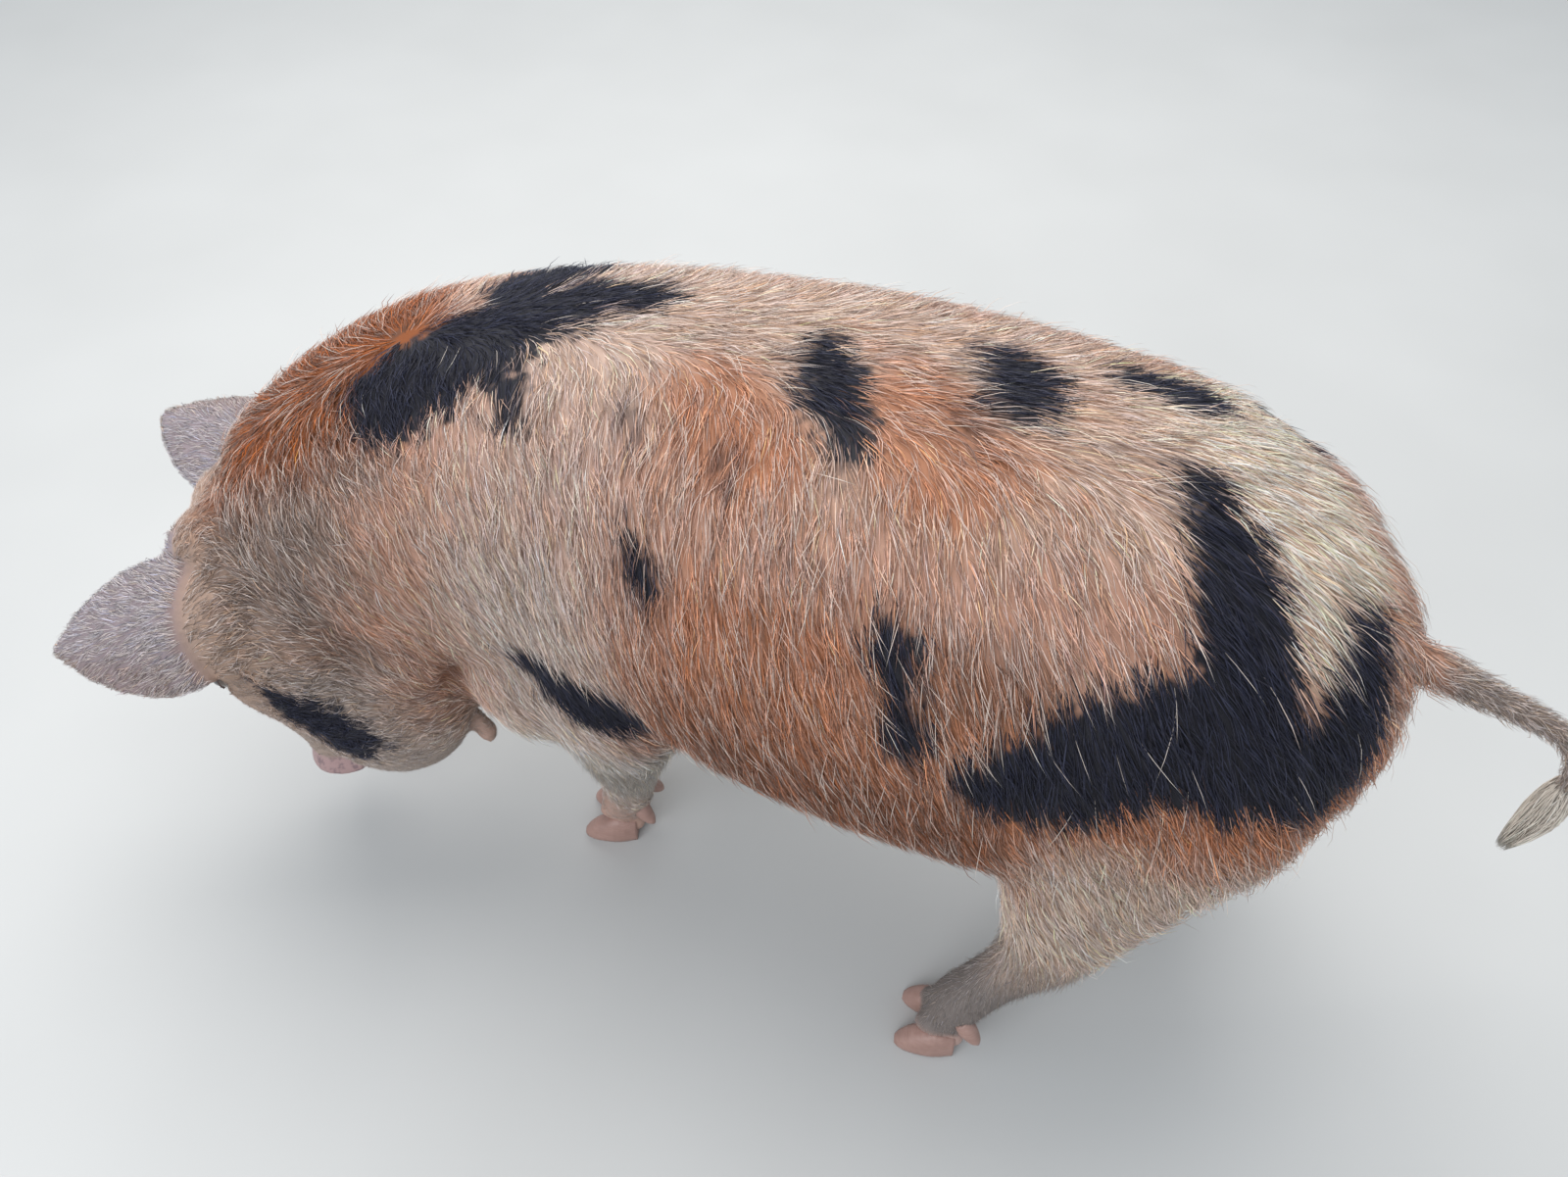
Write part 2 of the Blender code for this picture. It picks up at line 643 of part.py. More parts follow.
def combine(target, operands, operation):
    """Join these closed meshes to the target, or cut them out of it, and remove them."""
    tools = bpy.data.collections.new("tools")
    for thing in operands:
        tools.objects.link(thing)
    step = target.modifiers.new(operation.lower(), "BOOLEAN")
    step.operation = operation
    step.operand_type = "COLLECTION"
    step.collection = tools
    step.solver = "EXACT"
    apply_modifiers(target)
    for thing in operands:
        bpy.data.objects.remove(thing)
    bpy.data.collections.remove(tools)


def thinned(thing, triangles):
    count = sum(len(face.vertices) - 2 for face in thing.data.polygons)
    thin = thing.modifiers.new("thin", "DECIMATE")
    thin.ratio = min(1, triangles / count)
    apply_modifiers(thing)


def pieces_of(thing):
    """Each closed surface of this mesh as its own list of faces, the largest first."""
    bm = bmesh.new()
    bm.from_mesh(thing.data)
    bm.faces.ensure_lookup_table()
    seen, groups = set(), []
    for face in bm.faces:
        if face.index in seen:
            continue
        group, queue = [], [face]
        seen.add(face.index)
        while queue:
            here = queue.pop()
            group.append(here.index)
            for edge in here.edges:
                for other in edge.link_faces:
                    if other.index not in seen:
                        seen.add(other.index)
                        queue.append(other)
        groups.append(group)
    groups.sort(key=len, reverse=True)
    return bm, groups


def keep_largest(thing):
    bm, groups = pieces_of(thing)
    bm.faces.ensure_lookup_table()
    extra = [bm.faces[i] for group in groups[1:] for i in group]
    bmesh.ops.delete(bm, geom=extra, context="FACES")
    bm.to_mesh(thing.data)
    bm.free()


def part_flesh(body):
    """The cut body's pieces as objects, each named for the place that it is nearest to."""
    places = {
        "torso": Vector((0.0, 0.0, 0.40)),
        "neck": Vector((-0.43, -0.06, 0.40)),
        "head": head_point(0.10, 0, -0.05),
    }
    for leg in LEGS:
        places["leg_" + leg] = Vector(LEGS[leg][4][:3])
    bm, groups = pieces_of(body)
    bm.faces.ensure_lookup_table()
    made = []
    for group in groups:
        corners = list(dict.fromkeys(vertex for i in group for vertex in bm.faces[i].verts))
        middle = sum((vertex.co for vertex in corners), Vector()) / len(corners)
        name = min(places, key=lambda key: (places[key] - middle).length)
        if name in [thing.name for thing in made]:
            continue
        index = {vertex: i for i, vertex in enumerate(corners)}
        mesh = bpy.data.meshes.new(name)
        faces = [[index[vertex] for vertex in bm.faces[i].verts] for i in group]
        mesh.from_pydata([vertex.co for vertex in corners], [], faces)
        made.append(link(name, mesh))
    bm.free()
    bpy.data.objects.remove(body)
    return made


def build():
    body = flesh(BODY_VOXEL, SMOOTHING)
    thinned(body, BODY_TRIANGLES)
    combine(body, [make_lids(1), make_lids(-1), *make_lips(body)], "UNION")
    keep_largest(body)
    fitted = [make_snout()]
    fitted += [make_eye(side) for side in (1, -1)]
    for leg in LEGS:
        for side in (1, -1):
            fitted += [make_claw(leg, side), make_dewclaw(leg, side)]
    on_top = [make_tail(), *[make_ear(side) for side in (1, -1)], *[make_wattle(side) for side in (1, -1)]]
    for thing in on_top:
        combine(thing, [pushed(body)], "DIFFERENCE")
        keep_largest(thing)
    combine(body, make_locks(body), "UNION")
    keep_largest(body)
    switch = make_switch()
    combine(switch, [pushed(on_top[0])], "DIFFERENCE")
    combine(body, [make_slit(1), make_slit(-1)], "DIFFERENCE")
    combine(body, [pushed(thing) for thing in fitted], "DIFFERENCE")
    nostrils = []
    for side in (1, -1):
        u, w, n = NOSTRIL
        nostrils.append(ellipsoid("nostril", head_point(u, side * w, n), NOSTRIL_RADII, HEAD_AXES, 12))
    combine(fitted[0], nostrils, "DIFFERENCE")
    cuts = [slab(*NECK_CUT), slab(*HEAD_CUT), mouth_slab()]
    cuts += [leg_slab(leg) for leg in LEGS]
    combine(body, cuts, "DIFFERENCE")
    return part_flesh(body) + fitted + on_top + [switch]


# Colour, roughness and coat weight
FINISHES = {
    "ginger": ((0.46, 0.20, 0.07), 0.62),
    "tan": ((0.52, 0.33, 0.19), 0.62),
    "grey_brown": ((0.30, 0.22, 0.15), 0.64),
    "mauve": ((0.32, 0.25, 0.24), 0.55),
    "pink_skin": ((0.58, 0.36, 0.30), 0.50),
    "horn": ((0.60, 0.40, 0.34), 0.38),
    "cream": ((0.62, 0.52, 0.38), 0.66),
    "dark_eye": ((0.03, 0.018, 0.010), 0.08),
}


def finish_of(name):
    if name.startswith("eye"):
        return "dark_eye"
    if name.startswith("ear"):
        return "mauve"
    if "claw" in name:
        return "horn"
    if name.startswith(("snout", "wattle")):
        return "pink_skin"
    if name in ("head", "neck"):
        return "grey_brown"
    if name == "tail_switch" or name.startswith("leg_fore"):
        return "cream"
    return "ginger" if name.startswith("leg") else "tan"


def dress(thing):
    """Give this node its own material."""
    colour, roughness = FINISHES[finish_of(thing.name)]
    material = bpy.data.materials.new(thing.name)
    material.use_nodes = True
    shader = material.node_tree.nodes["Principled BSDF"]
    shader.inputs["Base Color"].default_value = (*colour, 1)
    shader.inputs["Roughness"].default_value = roughness
    shader.inputs["Metallic"].default_value = 0
    thing.data.materials.clear()
    thing.data.materials.append(material)
    thing.data.shade_smooth()
    thing.data.set_sharp_from_angle(angle=math.radians(50))


def main():
    clear_scene()
    for thing in build():
        thing.location = -MIDDLE
        dress(thing)


if __name__ == "__main__":
    main()
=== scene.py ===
# %% [markdown]
# # A kunekune pig, grazing
#
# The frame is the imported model: plain solids that already have the pig's place, pose and outline. This lesson
# dresses it. One closed skin takes the place of all the flesh, and nearly two hundred thousand bristles grow
# from it. Blender can grow hair with particles or curves, but those are lost when a model is exported, so
# every bristle here is a thin closed blade of real mesh.

# %% Load the frame
import math

import bmesh
import bpy
import numpy as np
from mathutils import Matrix, Vector
from mathutils.bvhtree import BVHTree
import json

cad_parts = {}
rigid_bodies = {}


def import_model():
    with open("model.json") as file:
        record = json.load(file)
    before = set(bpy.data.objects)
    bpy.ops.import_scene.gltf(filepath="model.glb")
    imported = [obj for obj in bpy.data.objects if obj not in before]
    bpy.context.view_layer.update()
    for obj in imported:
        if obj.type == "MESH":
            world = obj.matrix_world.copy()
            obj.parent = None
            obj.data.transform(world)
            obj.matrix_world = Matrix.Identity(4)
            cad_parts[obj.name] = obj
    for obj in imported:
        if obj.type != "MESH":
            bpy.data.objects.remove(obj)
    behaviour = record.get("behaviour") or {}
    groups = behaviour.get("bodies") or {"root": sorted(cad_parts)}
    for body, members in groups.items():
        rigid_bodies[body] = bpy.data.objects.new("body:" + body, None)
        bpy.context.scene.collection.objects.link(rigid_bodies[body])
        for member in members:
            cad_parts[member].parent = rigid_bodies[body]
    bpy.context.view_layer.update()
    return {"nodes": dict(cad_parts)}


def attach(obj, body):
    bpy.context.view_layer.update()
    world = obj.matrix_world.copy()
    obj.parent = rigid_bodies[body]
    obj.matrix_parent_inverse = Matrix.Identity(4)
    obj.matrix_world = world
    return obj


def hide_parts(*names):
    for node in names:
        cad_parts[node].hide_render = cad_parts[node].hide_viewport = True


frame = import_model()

print("solids:", len(frame["nodes"]))

# %% [markdown]
# ## Camera and light
#
# The photo looks down at 48 degrees from the pig's left, close by, so the near hip is large and the head is
# small. A wide lens from just over a metre does the same. The light of an overcast day is soft and comes from
# above: a large area lamp and a pale sky give that, and a weaker lamp keeps the shaded side readable.

# %% Camera, lamps and floor
MIDDLE = Vector((-0.1273, -0.0420, 0))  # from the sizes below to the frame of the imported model
TURN = math.radians(22.9)
LOOK_DOWN = math.radians(48)


def add_object(name, data):
    made = bpy.data.objects.new(name, data)
    bpy.context.scene.collection.objects.link(made)
    return made


camera = add_object("camera", bpy.data.cameras.new("camera"))
camera.location = (0.2610, -0.5801, 1.08)
camera.rotation_euler = (math.pi / 2 - LOOK_DOWN, 0, TURN)
camera.data.sensor_width = 36
camera.data.lens = 28.125
camera.data.clip_start = 0.01
bpy.context.scene.camera = camera


def add_lamp(name, place, target, size, power, colour):
    lamp = add_object(name, bpy.data.lights.new(name, "AREA"))
    lamp.location = place
    lamp.rotation_euler = (Vector(target) - Vector(place)).to_track_quat("-Z", "Y").to_euler()
    lamp.data.size = size
    lamp.data.energy = power
    lamp.data.color = colour


add_lamp("sky_lamp", (-0.5, 0.9, 2.6), (0, 0, 0.3), 2.4, 80, (1.0, 0.98, 0.96))
add_lamp("near_lamp", (-0.4, -2.3, 1.8), (0, 0, 0.3), 2.0, 48, (0.94, 0.96, 1.0))
world = bpy.data.worlds.new("sky")
world.use_nodes = True
world.node_tree.nodes["Background"].inputs["Color"].default_value = (0.86, 0.93, 1.0, 1)
world.node_tree.nodes["Background"].inputs["Strength"].default_value = 0.80
bpy.context.scene.world = world
bpy.context.scene.view_settings.view_transform = "Standard"
print("camera at", tuple(camera.location))

# %% [markdown]
# ## Nodes written as sums
#
# A material is a tree of nodes. Adding and linking each one by hand hides what the tree computes, so a small
# class wraps a socket and lets Python's own + - * build the Math nodes. Colours must not go through Math
# nodes, which would turn them grey, so they are blended by a Mix node.

# %% A socket that can be added, and a material that can be painted
class Flow:
    """The output of a node."""

    def __init__(self, paint, socket):
        self.paint = paint
        self.socket = socket

    def sum_with(self, operation, first, second):
        return self.paint.node("ShaderNodeMath", {"operation": operation}, {0: first, 1: second})

    def __add__(self, other):
        return self.sum_with("ADD", self, other)

    def __radd__(self, other):
        return self.sum_with("ADD", other, self)

    def __sub__(self, other):
        return self.sum_with("SUBTRACT", self, other)

    def __rsub__(self, other):
        return self.sum_with("SUBTRACT", other, self)

    def __mul__(self, other):
        return self.sum_with("MULTIPLY", self, other)

    def __rmul__(self, other):
        return self.sum_with("MULTIPLY", other, self)


class Paint:
    """A material with one Principled shader."""

    def __init__(self, name, **constants):
        self.material = bpy.data.materials.new(name)
        self.material.use_nodes = True
        self.tree = self.material.node_tree
        self.shader = self.tree.nodes["Principled BSDF"]
        for key, value in constants.items():
            self.shader.inputs[key.replace("_", " ").title().replace("Ior", "IOR")].default_value = value

    def feed(self, socket, value):
        if isinstance(value, Flow):
            self.tree.links.new(value.socket, socket)
        else:
            socket.default_value = value

    def node(self, kind, settings=None, inputs=None, output=0):
        made = self.tree.nodes.new(kind)
        for key, value in (settings or {}).items():
            if key == "stops":
                ramp = made.color_ramp
                while len(ramp.elements) < len(value):
                    ramp.elements.new(0.5)
                for element, (place, colour) in zip(ramp.elements, value):
                    element.position = place
                    element.color = (*colour, 1)
            else:
                setattr(made, key, value)
        for key, value in (inputs or {}).items():
            self.feed(made.inputs[key], value)
        return Flow(self, made.outputs[output])

    def mix(self, share, first, second):
        settings = {"data_type": "RGBA"}
        return self.node("ShaderNodeMix", settings, {"Factor": share, 6: first, 7: second}, 2)

    def noise(self, scale, detail=2.0, stretch=None):
        place = self.node("ShaderNodeTexCoord", output="Object")
        if stretch:
            place = self.node("ShaderNodeMapping", None, {"Vector": place, "Scale": stretch})
        return self.node("ShaderNodeTexNoise", None, {"Vector": place, "Scale": scale, "Detail": detail})

    def attribute(self, name, output="Color"):
        return self.node("ShaderNodeAttribute", {"attribute_name": name}, output=output)

    def bump(self, height, strength, distance):
        inputs = {"Height": height, "Strength": strength, "Distance": distance}
        self.set("Normal", self.node("ShaderNodeBump", None, inputs))

    def set(self, name, value):
        self.feed(self.shader.inputs[name], value)


def tone(red, green, blue):
    """A colour as one reads it on a screen, from 0 to 255, as the light that Blender works with."""
    return tuple((value / 255) ** 2.2 for value in (red, green, blue))


floor_paint = Paint("pale_floor", roughness=0.85)
cloud = floor_paint.noise(3.0)
floor_paint.set("Base Color", floor_paint.mix(cloud, (0.44, 0.44, 0.43, 1), (0.50, 0.50, 0.49, 1)))
bpy.ops.mesh.primitive_plane_add(size=9)
floor = bpy.context.object
floor.name = "floor"
floor.data.materials.append(floor_paint.material)
print("floor", floor.dimensions.x, "m across")

# %% [markdown]
# ## The sizes of the pig
#
# These are the sizes that the solids were made from, so that the skin lies inside them. The spine is a row of
# ovals from rump to poll, the head another row down the face, and each leg a row down to its foot.

# %% Sizes of the body and legs
SPINE = [  # x, y and z of the centre, half width, height up, depth down
    (0.318, 0.000, 0.400, 0.066, 0.058, 0.074),
    (0.288, 0.000, 0.402, 0.112, 0.102, 0.122),
    (0.230, 0.000, 0.402, 0.158, 0.147, 0.162),
    (0.150, 0.000, 0.401, 0.188, 0.181, 0.192),
    (0.030, 0.000, 0.401, 0.200, 0.190, 0.203),
    (-0.090, 0.000, 0.402, 0.195, 0.190, 0.203),
    (-0.190, 0.000, 0.403, 0.180, 0.182, 0.190),
    (-0.285, -0.010, 0.404, 0.164, 0.172, 0.176),
    (-0.375, -0.038, 0.396, 0.152, 0.158, 0.160),
    (-0.450, -0.074, 0.372, 0.138, 0.138, 0.138),
    (-0.515, -0.114, 0.338, 0.114, 0.112, 0.112),
]
LEGS = {  # x, y and z of the centre, half width, half depth
    "fore_left": [
        (-0.245, -0.096, 0.330, 0.060, 0.086),
        (-0.240, -0.104, 0.262, 0.052, 0.072),
        (-0.240, -0.102, 0.200, 0.040, 0.050),
        (-0.246, -0.094, 0.145, 0.032, 0.035),
        (-0.251, -0.087, 0.100, 0.026, 0.027),
        (-0.262, -0.080, 0.056, 0.027, 0.026),
        (-0.270, -0.077, 0.018, 0.022, 0.022),
    ],
    "fore_right": [
        (-0.225, 0.100, 0.330, 0.058, 0.082),
        (-0.208, 0.108, 0.262, 0.050, 0.066),
        (-0.200, 0.110, 0.200, 0.038, 0.046),
        (-0.200, 0.108, 0.145, 0.032, 0.035),
        (-0.198, 0.106, 0.100, 0.026, 0.027),
        (-0.206, 0.105, 0.056, 0.027, 0.026),
        (-0.214, 0.105, 0.018, 0.022, 0.022),
    ],
    "hind_left": [
        (0.185, -0.086, 0.350, 0.076, 0.100),
        (0.165, -0.114, 0.270, 0.056, 0.070),
        (0.160, -0.128, 0.200, 0.038, 0.046),
        (0.150, -0.134, 0.145, 0.028, 0.032),
        (0.120, -0.146, 0.095, 0.024, 0.026),
        (0.100, -0.154, 0.056, 0.026, 0.026),
        (0.088, -0.160, 0.018, 0.022, 0.022),
    ],
    "hind_right": [
        (0.205, 0.090, 0.350, 0.080, 0.112),
        (0.200, 0.114, 0.270, 0.060, 0.084),
        (0.206, 0.122, 0.200, 0.041, 0.052),
        (0.218, 0.124, 0.145, 0.031, 0.036),
        (0.200, 0.126, 0.095, 0.027, 0.028),
        (0.184, 0.128, 0.056, 0.027, 0.026),
        (0.176, 0.128, 0.018, 0.022, 0.022),
    ],
}
TOES_OUT = {"fore_left": 14, "fore_right": -8, "hind_left": 8, "hind_right": -10}
MASSES = [  # shoulders, haunches and throat: centre, radii
    ((-0.225, -0.085, 0.375), (0.100, 0.085, 0.140)),
    ((-0.215, 0.085, 0.375), (0.100, 0.085, 0.140)),
    ((0.188, -0.076, 0.385), (0.108, 0.092, 0.142)),
    ((0.198, 0.080, 0.380), (0.112, 0.095, 0.145)),
    ((-0.350, -0.054, 0.268), (0.085, 0.088, 0.092)),
    ((-0.312, -0.096, 0.272), (0.070, 0.064, 0.098)),
    ((-0.420, -0.172, 0.302), (0.062, 0.034, 0.042)),
]
TAIL = [  # x, y, z and radius
    (0.300, 0.000, 0.462, 0.017),
    (0.335, 0.001, 0.450, 0.014),
    (0.372, 0.008, 0.433, 0.0115),
    (0.407, 0.018, 0.415, 0.0100),
    (0.436, 0.029, 0.392, 0.0090),
    (0.455, 0.038, 0.364, 0.0080),
    (0.463, 0.043, 0.330, 0.0070),
]
COAT = 0.006  # how far the solids' outline stands over the flesh of the body
print("spine rows:", len(SPINE))

# %% Sizes of the head, in a frame that hangs from the poll
POLL = Vector((-0.566, -0.156, 0.376))
HEAD_YAW = math.radians(20)
HEAD_PITCH = math.radians(97)
FORWARD = Vector((-math.cos(HEAD_YAW), -math.sin(HEAD_YAW), 0))
HEAD_U = (FORWARD * math.cos(HEAD_PITCH) - Vector((0, 0, 1)) * math.sin(HEAD_PITCH)).normalized()
HEAD_W = Vector((math.sin(HEAD_YAW), -math.cos(HEAD_YAW), 0))
HEAD_N = HEAD_U.cross(HEAD_W).normalized()
HEAD_AXES = Matrix((HEAD_U, HEAD_W, HEAD_N)).transposed().to_4x4()
SKULL = [  # distance down the face, half width, out of the forehead, back to the jaw
    (-0.006, 0.050, 0.012, 0.085),
    (0.018, 0.076, 0.030, 0.112),
    (0.055, 0.088, 0.042, 0.134),
    (0.095, 0.090, 0.038, 0.146),
    (0.135, 0.085, 0.024, 0.144),
    (0.175, 0.071, 0.014, 0.126),
    (0.215, 0.059, 0.013, 0.102),
    (0.246, 0.050, 0.020, 0.080),
    (0.270, 0.046, 0.028, 0.052),
]
SOFT_MASSES = [  # jowl, cheek, brow, crown and ear root: down the face, to the side and out, then the radii
    ((0.160, 0.058, -0.105), (0.084, 0.054, 0.074)),
    ((0.125, 0.056, -0.062), (0.078, 0.044, 0.066)),
    ((0.076, 0.064, 0.004), (0.032, 0.024, 0.026)),
    ((-0.004, 0.024, -0.052), (0.044, 0.050, 0.076)),
    ((0.054, 0.083, -0.066), (0.050, 0.031, 0.050)),
]
SNOUT_DISC = (0.290, 0.050, 0.040, -0.006)  # distance down the face, half width, half height, out
NOSTRIL = (0.0175, -0.004)  # to the side and out
NOSTRIL_RADII = (0.0072, 0.0098)
MOUTH_BACK = (0.186, -0.066)
MOUTH_FRONT = (0.300, -0.028)
EYE = (0.101, 0.0700, 0.0098)
EYE_LOOK = (-0.10, 0.84, 0.54)
EYE_RADIUS = 0.0125
EAR_BASE = (0.022, 0.080, -0.034)
EAR_TIPS = {1: (0.070, 0.066, 0.154), -1: (0.010, 0.168, 0.122)}
EAR_CHORDS = {1: (0.62, 0.76, -0.10), -1: (-0.12, 0.86, -0.50)}
EAR_SECTIONS = [  # share of its length, half width, how deep the cup is, how far it arches outwards
    (-0.16, 0.028, 0.026, -0.012),
    (-0.06, 0.042, 0.032, 0.001),
    (0.08, 0.052, 0.030, 0.009),
    (0.26, 0.057, 0.024, 0.014),
    (0.45, 0.052, 0.017, 0.015),
    (0.64, 0.040, 0.011, 0.012),
    (0.82, 0.024, 0.006, 0.007),
    (1.00, 0.003, 0.001, 0.000),
]
WATTLE = [(0.175, 0.046, -0.160), (0.196, 0.048, -0.170), (0.222, 0.050, -0.174), (0.236, 0.050, -0.174)]
WATTLE_RADII = [0.006, 0.0065, 0.0115, 0.006]
HEAD_CUT = (Vector((-0.452, -0.115, 0.315)), Vector((0.700, 0.255, 0.664)).normalized())


def head_point(u, w, n):
    return POLL + HEAD_U * u + HEAD_W * w + HEAD_N * n


print("snout", [round(value, 3) for value in head_point(SNOUT_DISC[0], 0, 0)])

# %% [markdown]
# ## One skin
#
# A living body has no seams, so its skin is one mesh. Ovals are joined into tubes, soft masses are added as
# ellipsoids, and a voxel remesh melts them into one closed surface, as a thumb smooths clay. The body is
# melted first and smoothed a good deal. Ears, tail, wattles and snout are added after that and smoothed only
# a little, because the strong smoothing would wear such thin things away.

# %% Tubes and ellipsoids
def through(rows, steps):
    """Rows of numbers joined by a smooth curve, with this many steps between each two."""
    keys = np.array(rows, float)
    padded = np.vstack([2 * keys[0] - keys[1], keys, 2 * keys[-1] - keys[-2]])
    made = []
    for i in range(1, len(padded) - 2):
        before, start, end, after = padded[i - 1 : i + 3]
        for t in np.arange(steps) / steps:
            curve = 2 * start + (end - before) * t + (2 * before - 5 * start + 4 * end - after) * t * t
            made.append(0.5 * (curve + (3 * start - before - 3 * end + after) * t**3))
    made.append(keys[-1])
    return np.array(made)


def mesh_object(name, bm):
    bmesh.ops.recalc_face_normals(bm, faces=bm.faces)
    mesh = bpy.data.meshes.new(name)
    bm.to_mesh(mesh)
    bm.free()
    return add_object(name, mesh)


def loft(name, rings):
    """A closed tube through rings of points."""
    bm = bmesh.new()
    loops = [[bm.verts.new(point) for point in ring] for ring in rings]
    for above, below in zip(loops, loops[1:]):
        for i in range(len(above)):
            j = (i + 1) % len(above)
            bm.faces.new((above[i], above[j], below[j], below[i]))
    for ring in (loops[0], loops[-1]):
        bm.faces.new(ring)
    return mesh_object(name, bm)


def oval(centre, side, up, half_width, rise, drop, sides=40, power=2.2):
    points = []
    for i in range(sides):
        angle = 2 * math.pi * i / sides
        c, s = math.cos(angle), math.sin(angle)
        reach = (abs(c) ** power + abs(s) ** power) ** (-1 / power)
        height = rise if s > 0 else drop
        points.append(Vector(centre) + side * (c * reach * half_width) + up * (s * reach * height))
    return points


def ellipsoid(centre, radii, turn=None):
    bm = bmesh.new()
    bmesh.ops.create_uvsphere(bm, u_segments=32, v_segments=20, radius=1)
    place = Matrix.Translation(centre) @ (turn or Matrix.Identity(4)) @ Matrix.Diagonal((*radii, 1))
    bmesh.ops.transform(bm, matrix=place, verts=bm.verts)
    return mesh_object("mass", bm)


def pipe(name, points, radii, sides=16):
    rings = []
    for i, point in enumerate(points):
        along = (points[min(i + 1, len(points) - 1)] - points[max(i - 1, 0)]).normalized()
        side = along.cross(Vector((0, 1, 0))).normalized()
        rings.append(oval(point, side, side.cross(along), radii[i], radii[i], radii[i], sides, 2))
    return loft(name, rings)


def joined(name, pieces):
    """The pieces as one object, each still closed in itself."""
    bm = bmesh.new()
    for piece in pieces:
        bm.from_mesh(piece.data)
        bpy.data.objects.remove(piece)
    return mesh_object(name, bm)


def shade_smooth(piece):
    for polygon in piece.data.polygons:
        polygon.use_smooth = True


def melted(name, pieces, voxel, smoothing):
    """The pieces as one closed surface."""
    body = joined(name, pieces)
    remesh = body.modifiers.new("melt", "REMESH")
    remesh.mode = "VOXEL"
    remesh.voxel_size = voxel
    soften = body.modifiers.new("soften", "SMOOTH")
    soften.factor = 0.5
    soften.iterations = smoothing
    mesh = bpy.data.meshes.new_from_object(body.evaluated_get(bpy.context.evaluated_depsgraph_get()))
    body.modifiers.clear()
    body.data = mesh
    return body


print("rows of the spine once smoothed:", len(through(SPINE, 5)))

# %% Trunk, head and legs
def make_trunk():
    rows = through(SPINE, 5)
    rings = []
    for i, (x, y, z, width, rise, drop) in enumerate(rows):
        ahead, behind = rows[min(i + 1, len(rows) - 1)], rows[max(i - 1, 0)]
        along = Vector(ahead[:3] - behind[:3]).normalized()
        side = along.cross(Vector((0, 0, 1))).normalized()
        rings.append(oval((x, y, z), side, side.cross(along), width - COAT, rise - COAT, drop - COAT))
    return loft("trunk", rings)


def make_head():
    rows = through(SKULL, 4)
    rings = [oval(head_point(u, 0, 0), HEAD_W, HEAD_N, width, out, back) for u, width, out, back in rows]
    made = [loft("head", rings)]
    for side in (1, -1):
        for (u, w, n), radii in SOFT_MASSES:
            made.append(ellipsoid(head_point(u, side * w, n), radii, HEAD_AXES))
    return made


def make_leg(name):
    rings = []
    rows = through(LEGS[name], 4)
    for i, (x, y, z, width, depth) in enumerate(rows):
        turn = math.radians(TOES_OUT[name]) * i / (len(rows) - 1)
        side = Vector((math.sin(turn), -math.cos(turn), 0))
        rings.append(oval((x, y, z), side, side.cross(Vector((0, 0, 1))), width, depth, depth, 24))
    return loft(name, rings)


BODY_VOXEL = 0.005
pieces = [make_trunk(), *make_head(), *[make_leg(name) for name in LEGS]]
pieces += [ellipsoid(centre, radii) for centre, radii in MASSES]
body = melted("body", pieces, BODY_VOXEL, 16)
print("body:", len(body.data.vertices), "points")

# %% [markdown]
# An ear is a flap of gristle: thick and rolled at its root, thin at its rim, and cupped, with the hollow side
# facing the ground here. It is lofted from sections across its length. Each ear also gets its own measuring
# frame, which later tells how far along and across the ear a hair stands.

# %% Ears, tail, wattles, snout and the bulbs of the feet
def ear_frame(side):
    base = head_point(EAR_BASE[0], side * EAR_BASE[1], EAR_BASE[2])
    along = head_point(EAR_TIPS[side][0], side * EAR_TIPS[side][1], EAR_TIPS[side][2]) - base
    down, sideways, forward = EAR_CHORDS[side]
    chord = HEAD_U * down + HEAD_W * side * sideways + HEAD_N * forward
    chord = (chord - along.normalized() * chord.dot(along.normalized())).normalized()
    out = chord.cross(along).normalized()
    if out.z < 0:
        out.negate()
    return base, along, chord, out


EAR_THICKNESS = 0.0076  # thick enough for the remesh, and thinned after it
RIM = 0.75  # the rim's share of the ear's thickness


def make_ear(side):
    base, along, chord, out = ear_frame(side)
    rings = []
    for share, width, cup, arch in through(EAR_SECTIONS, 4):
        centre = base + along * share + out * arch
        thick = EAR_THICKNESS * (1.15 - 0.45 * share)
        across = [math.sin(math.pi * (i / 14 - 0.5)) for i in range(15)]
        ring = [centre + chord * (a * width) + out * (cup * (1 - a * a)) for a in across]
        for a in reversed(across):
            under = thick * (RIM + (1 - RIM) * (1 - a**4))
            ring.append(centre + chord * (a * width * 0.97) + out * (cup * (1 - a * a) - under))
        rings.append(ring)
    return loft("ear", rings)


def make_snout():
    u, width, height, out = SNOUT_DISC
    rings = []
    for shift, scale in ((-0.020, 0.86), (-0.011, 0.95), (-0.004, 1.0), (0.001, 0.985), (0.0035, 0.90)):
        centre, tall = head_point(u + shift, 0, out), height * scale
        rings.append(oval(centre, HEAD_W, HEAD_N, width * scale, tall, tall, 40, 2.4))
    return loft("snout", rings)


def foot_frame(leg):
    """The middle of a foot's sole, the way its toes point and its side."""
    x, y, z = LEGS[leg][-1][:3]
    turn = math.radians(TOES_OUT[leg]) + math.pi
    toes = Vector((math.cos(turn), math.sin(turn), 0))
    return Vector((x, y, 0)), toes, Vector((-toes.y, toes.x, 0))


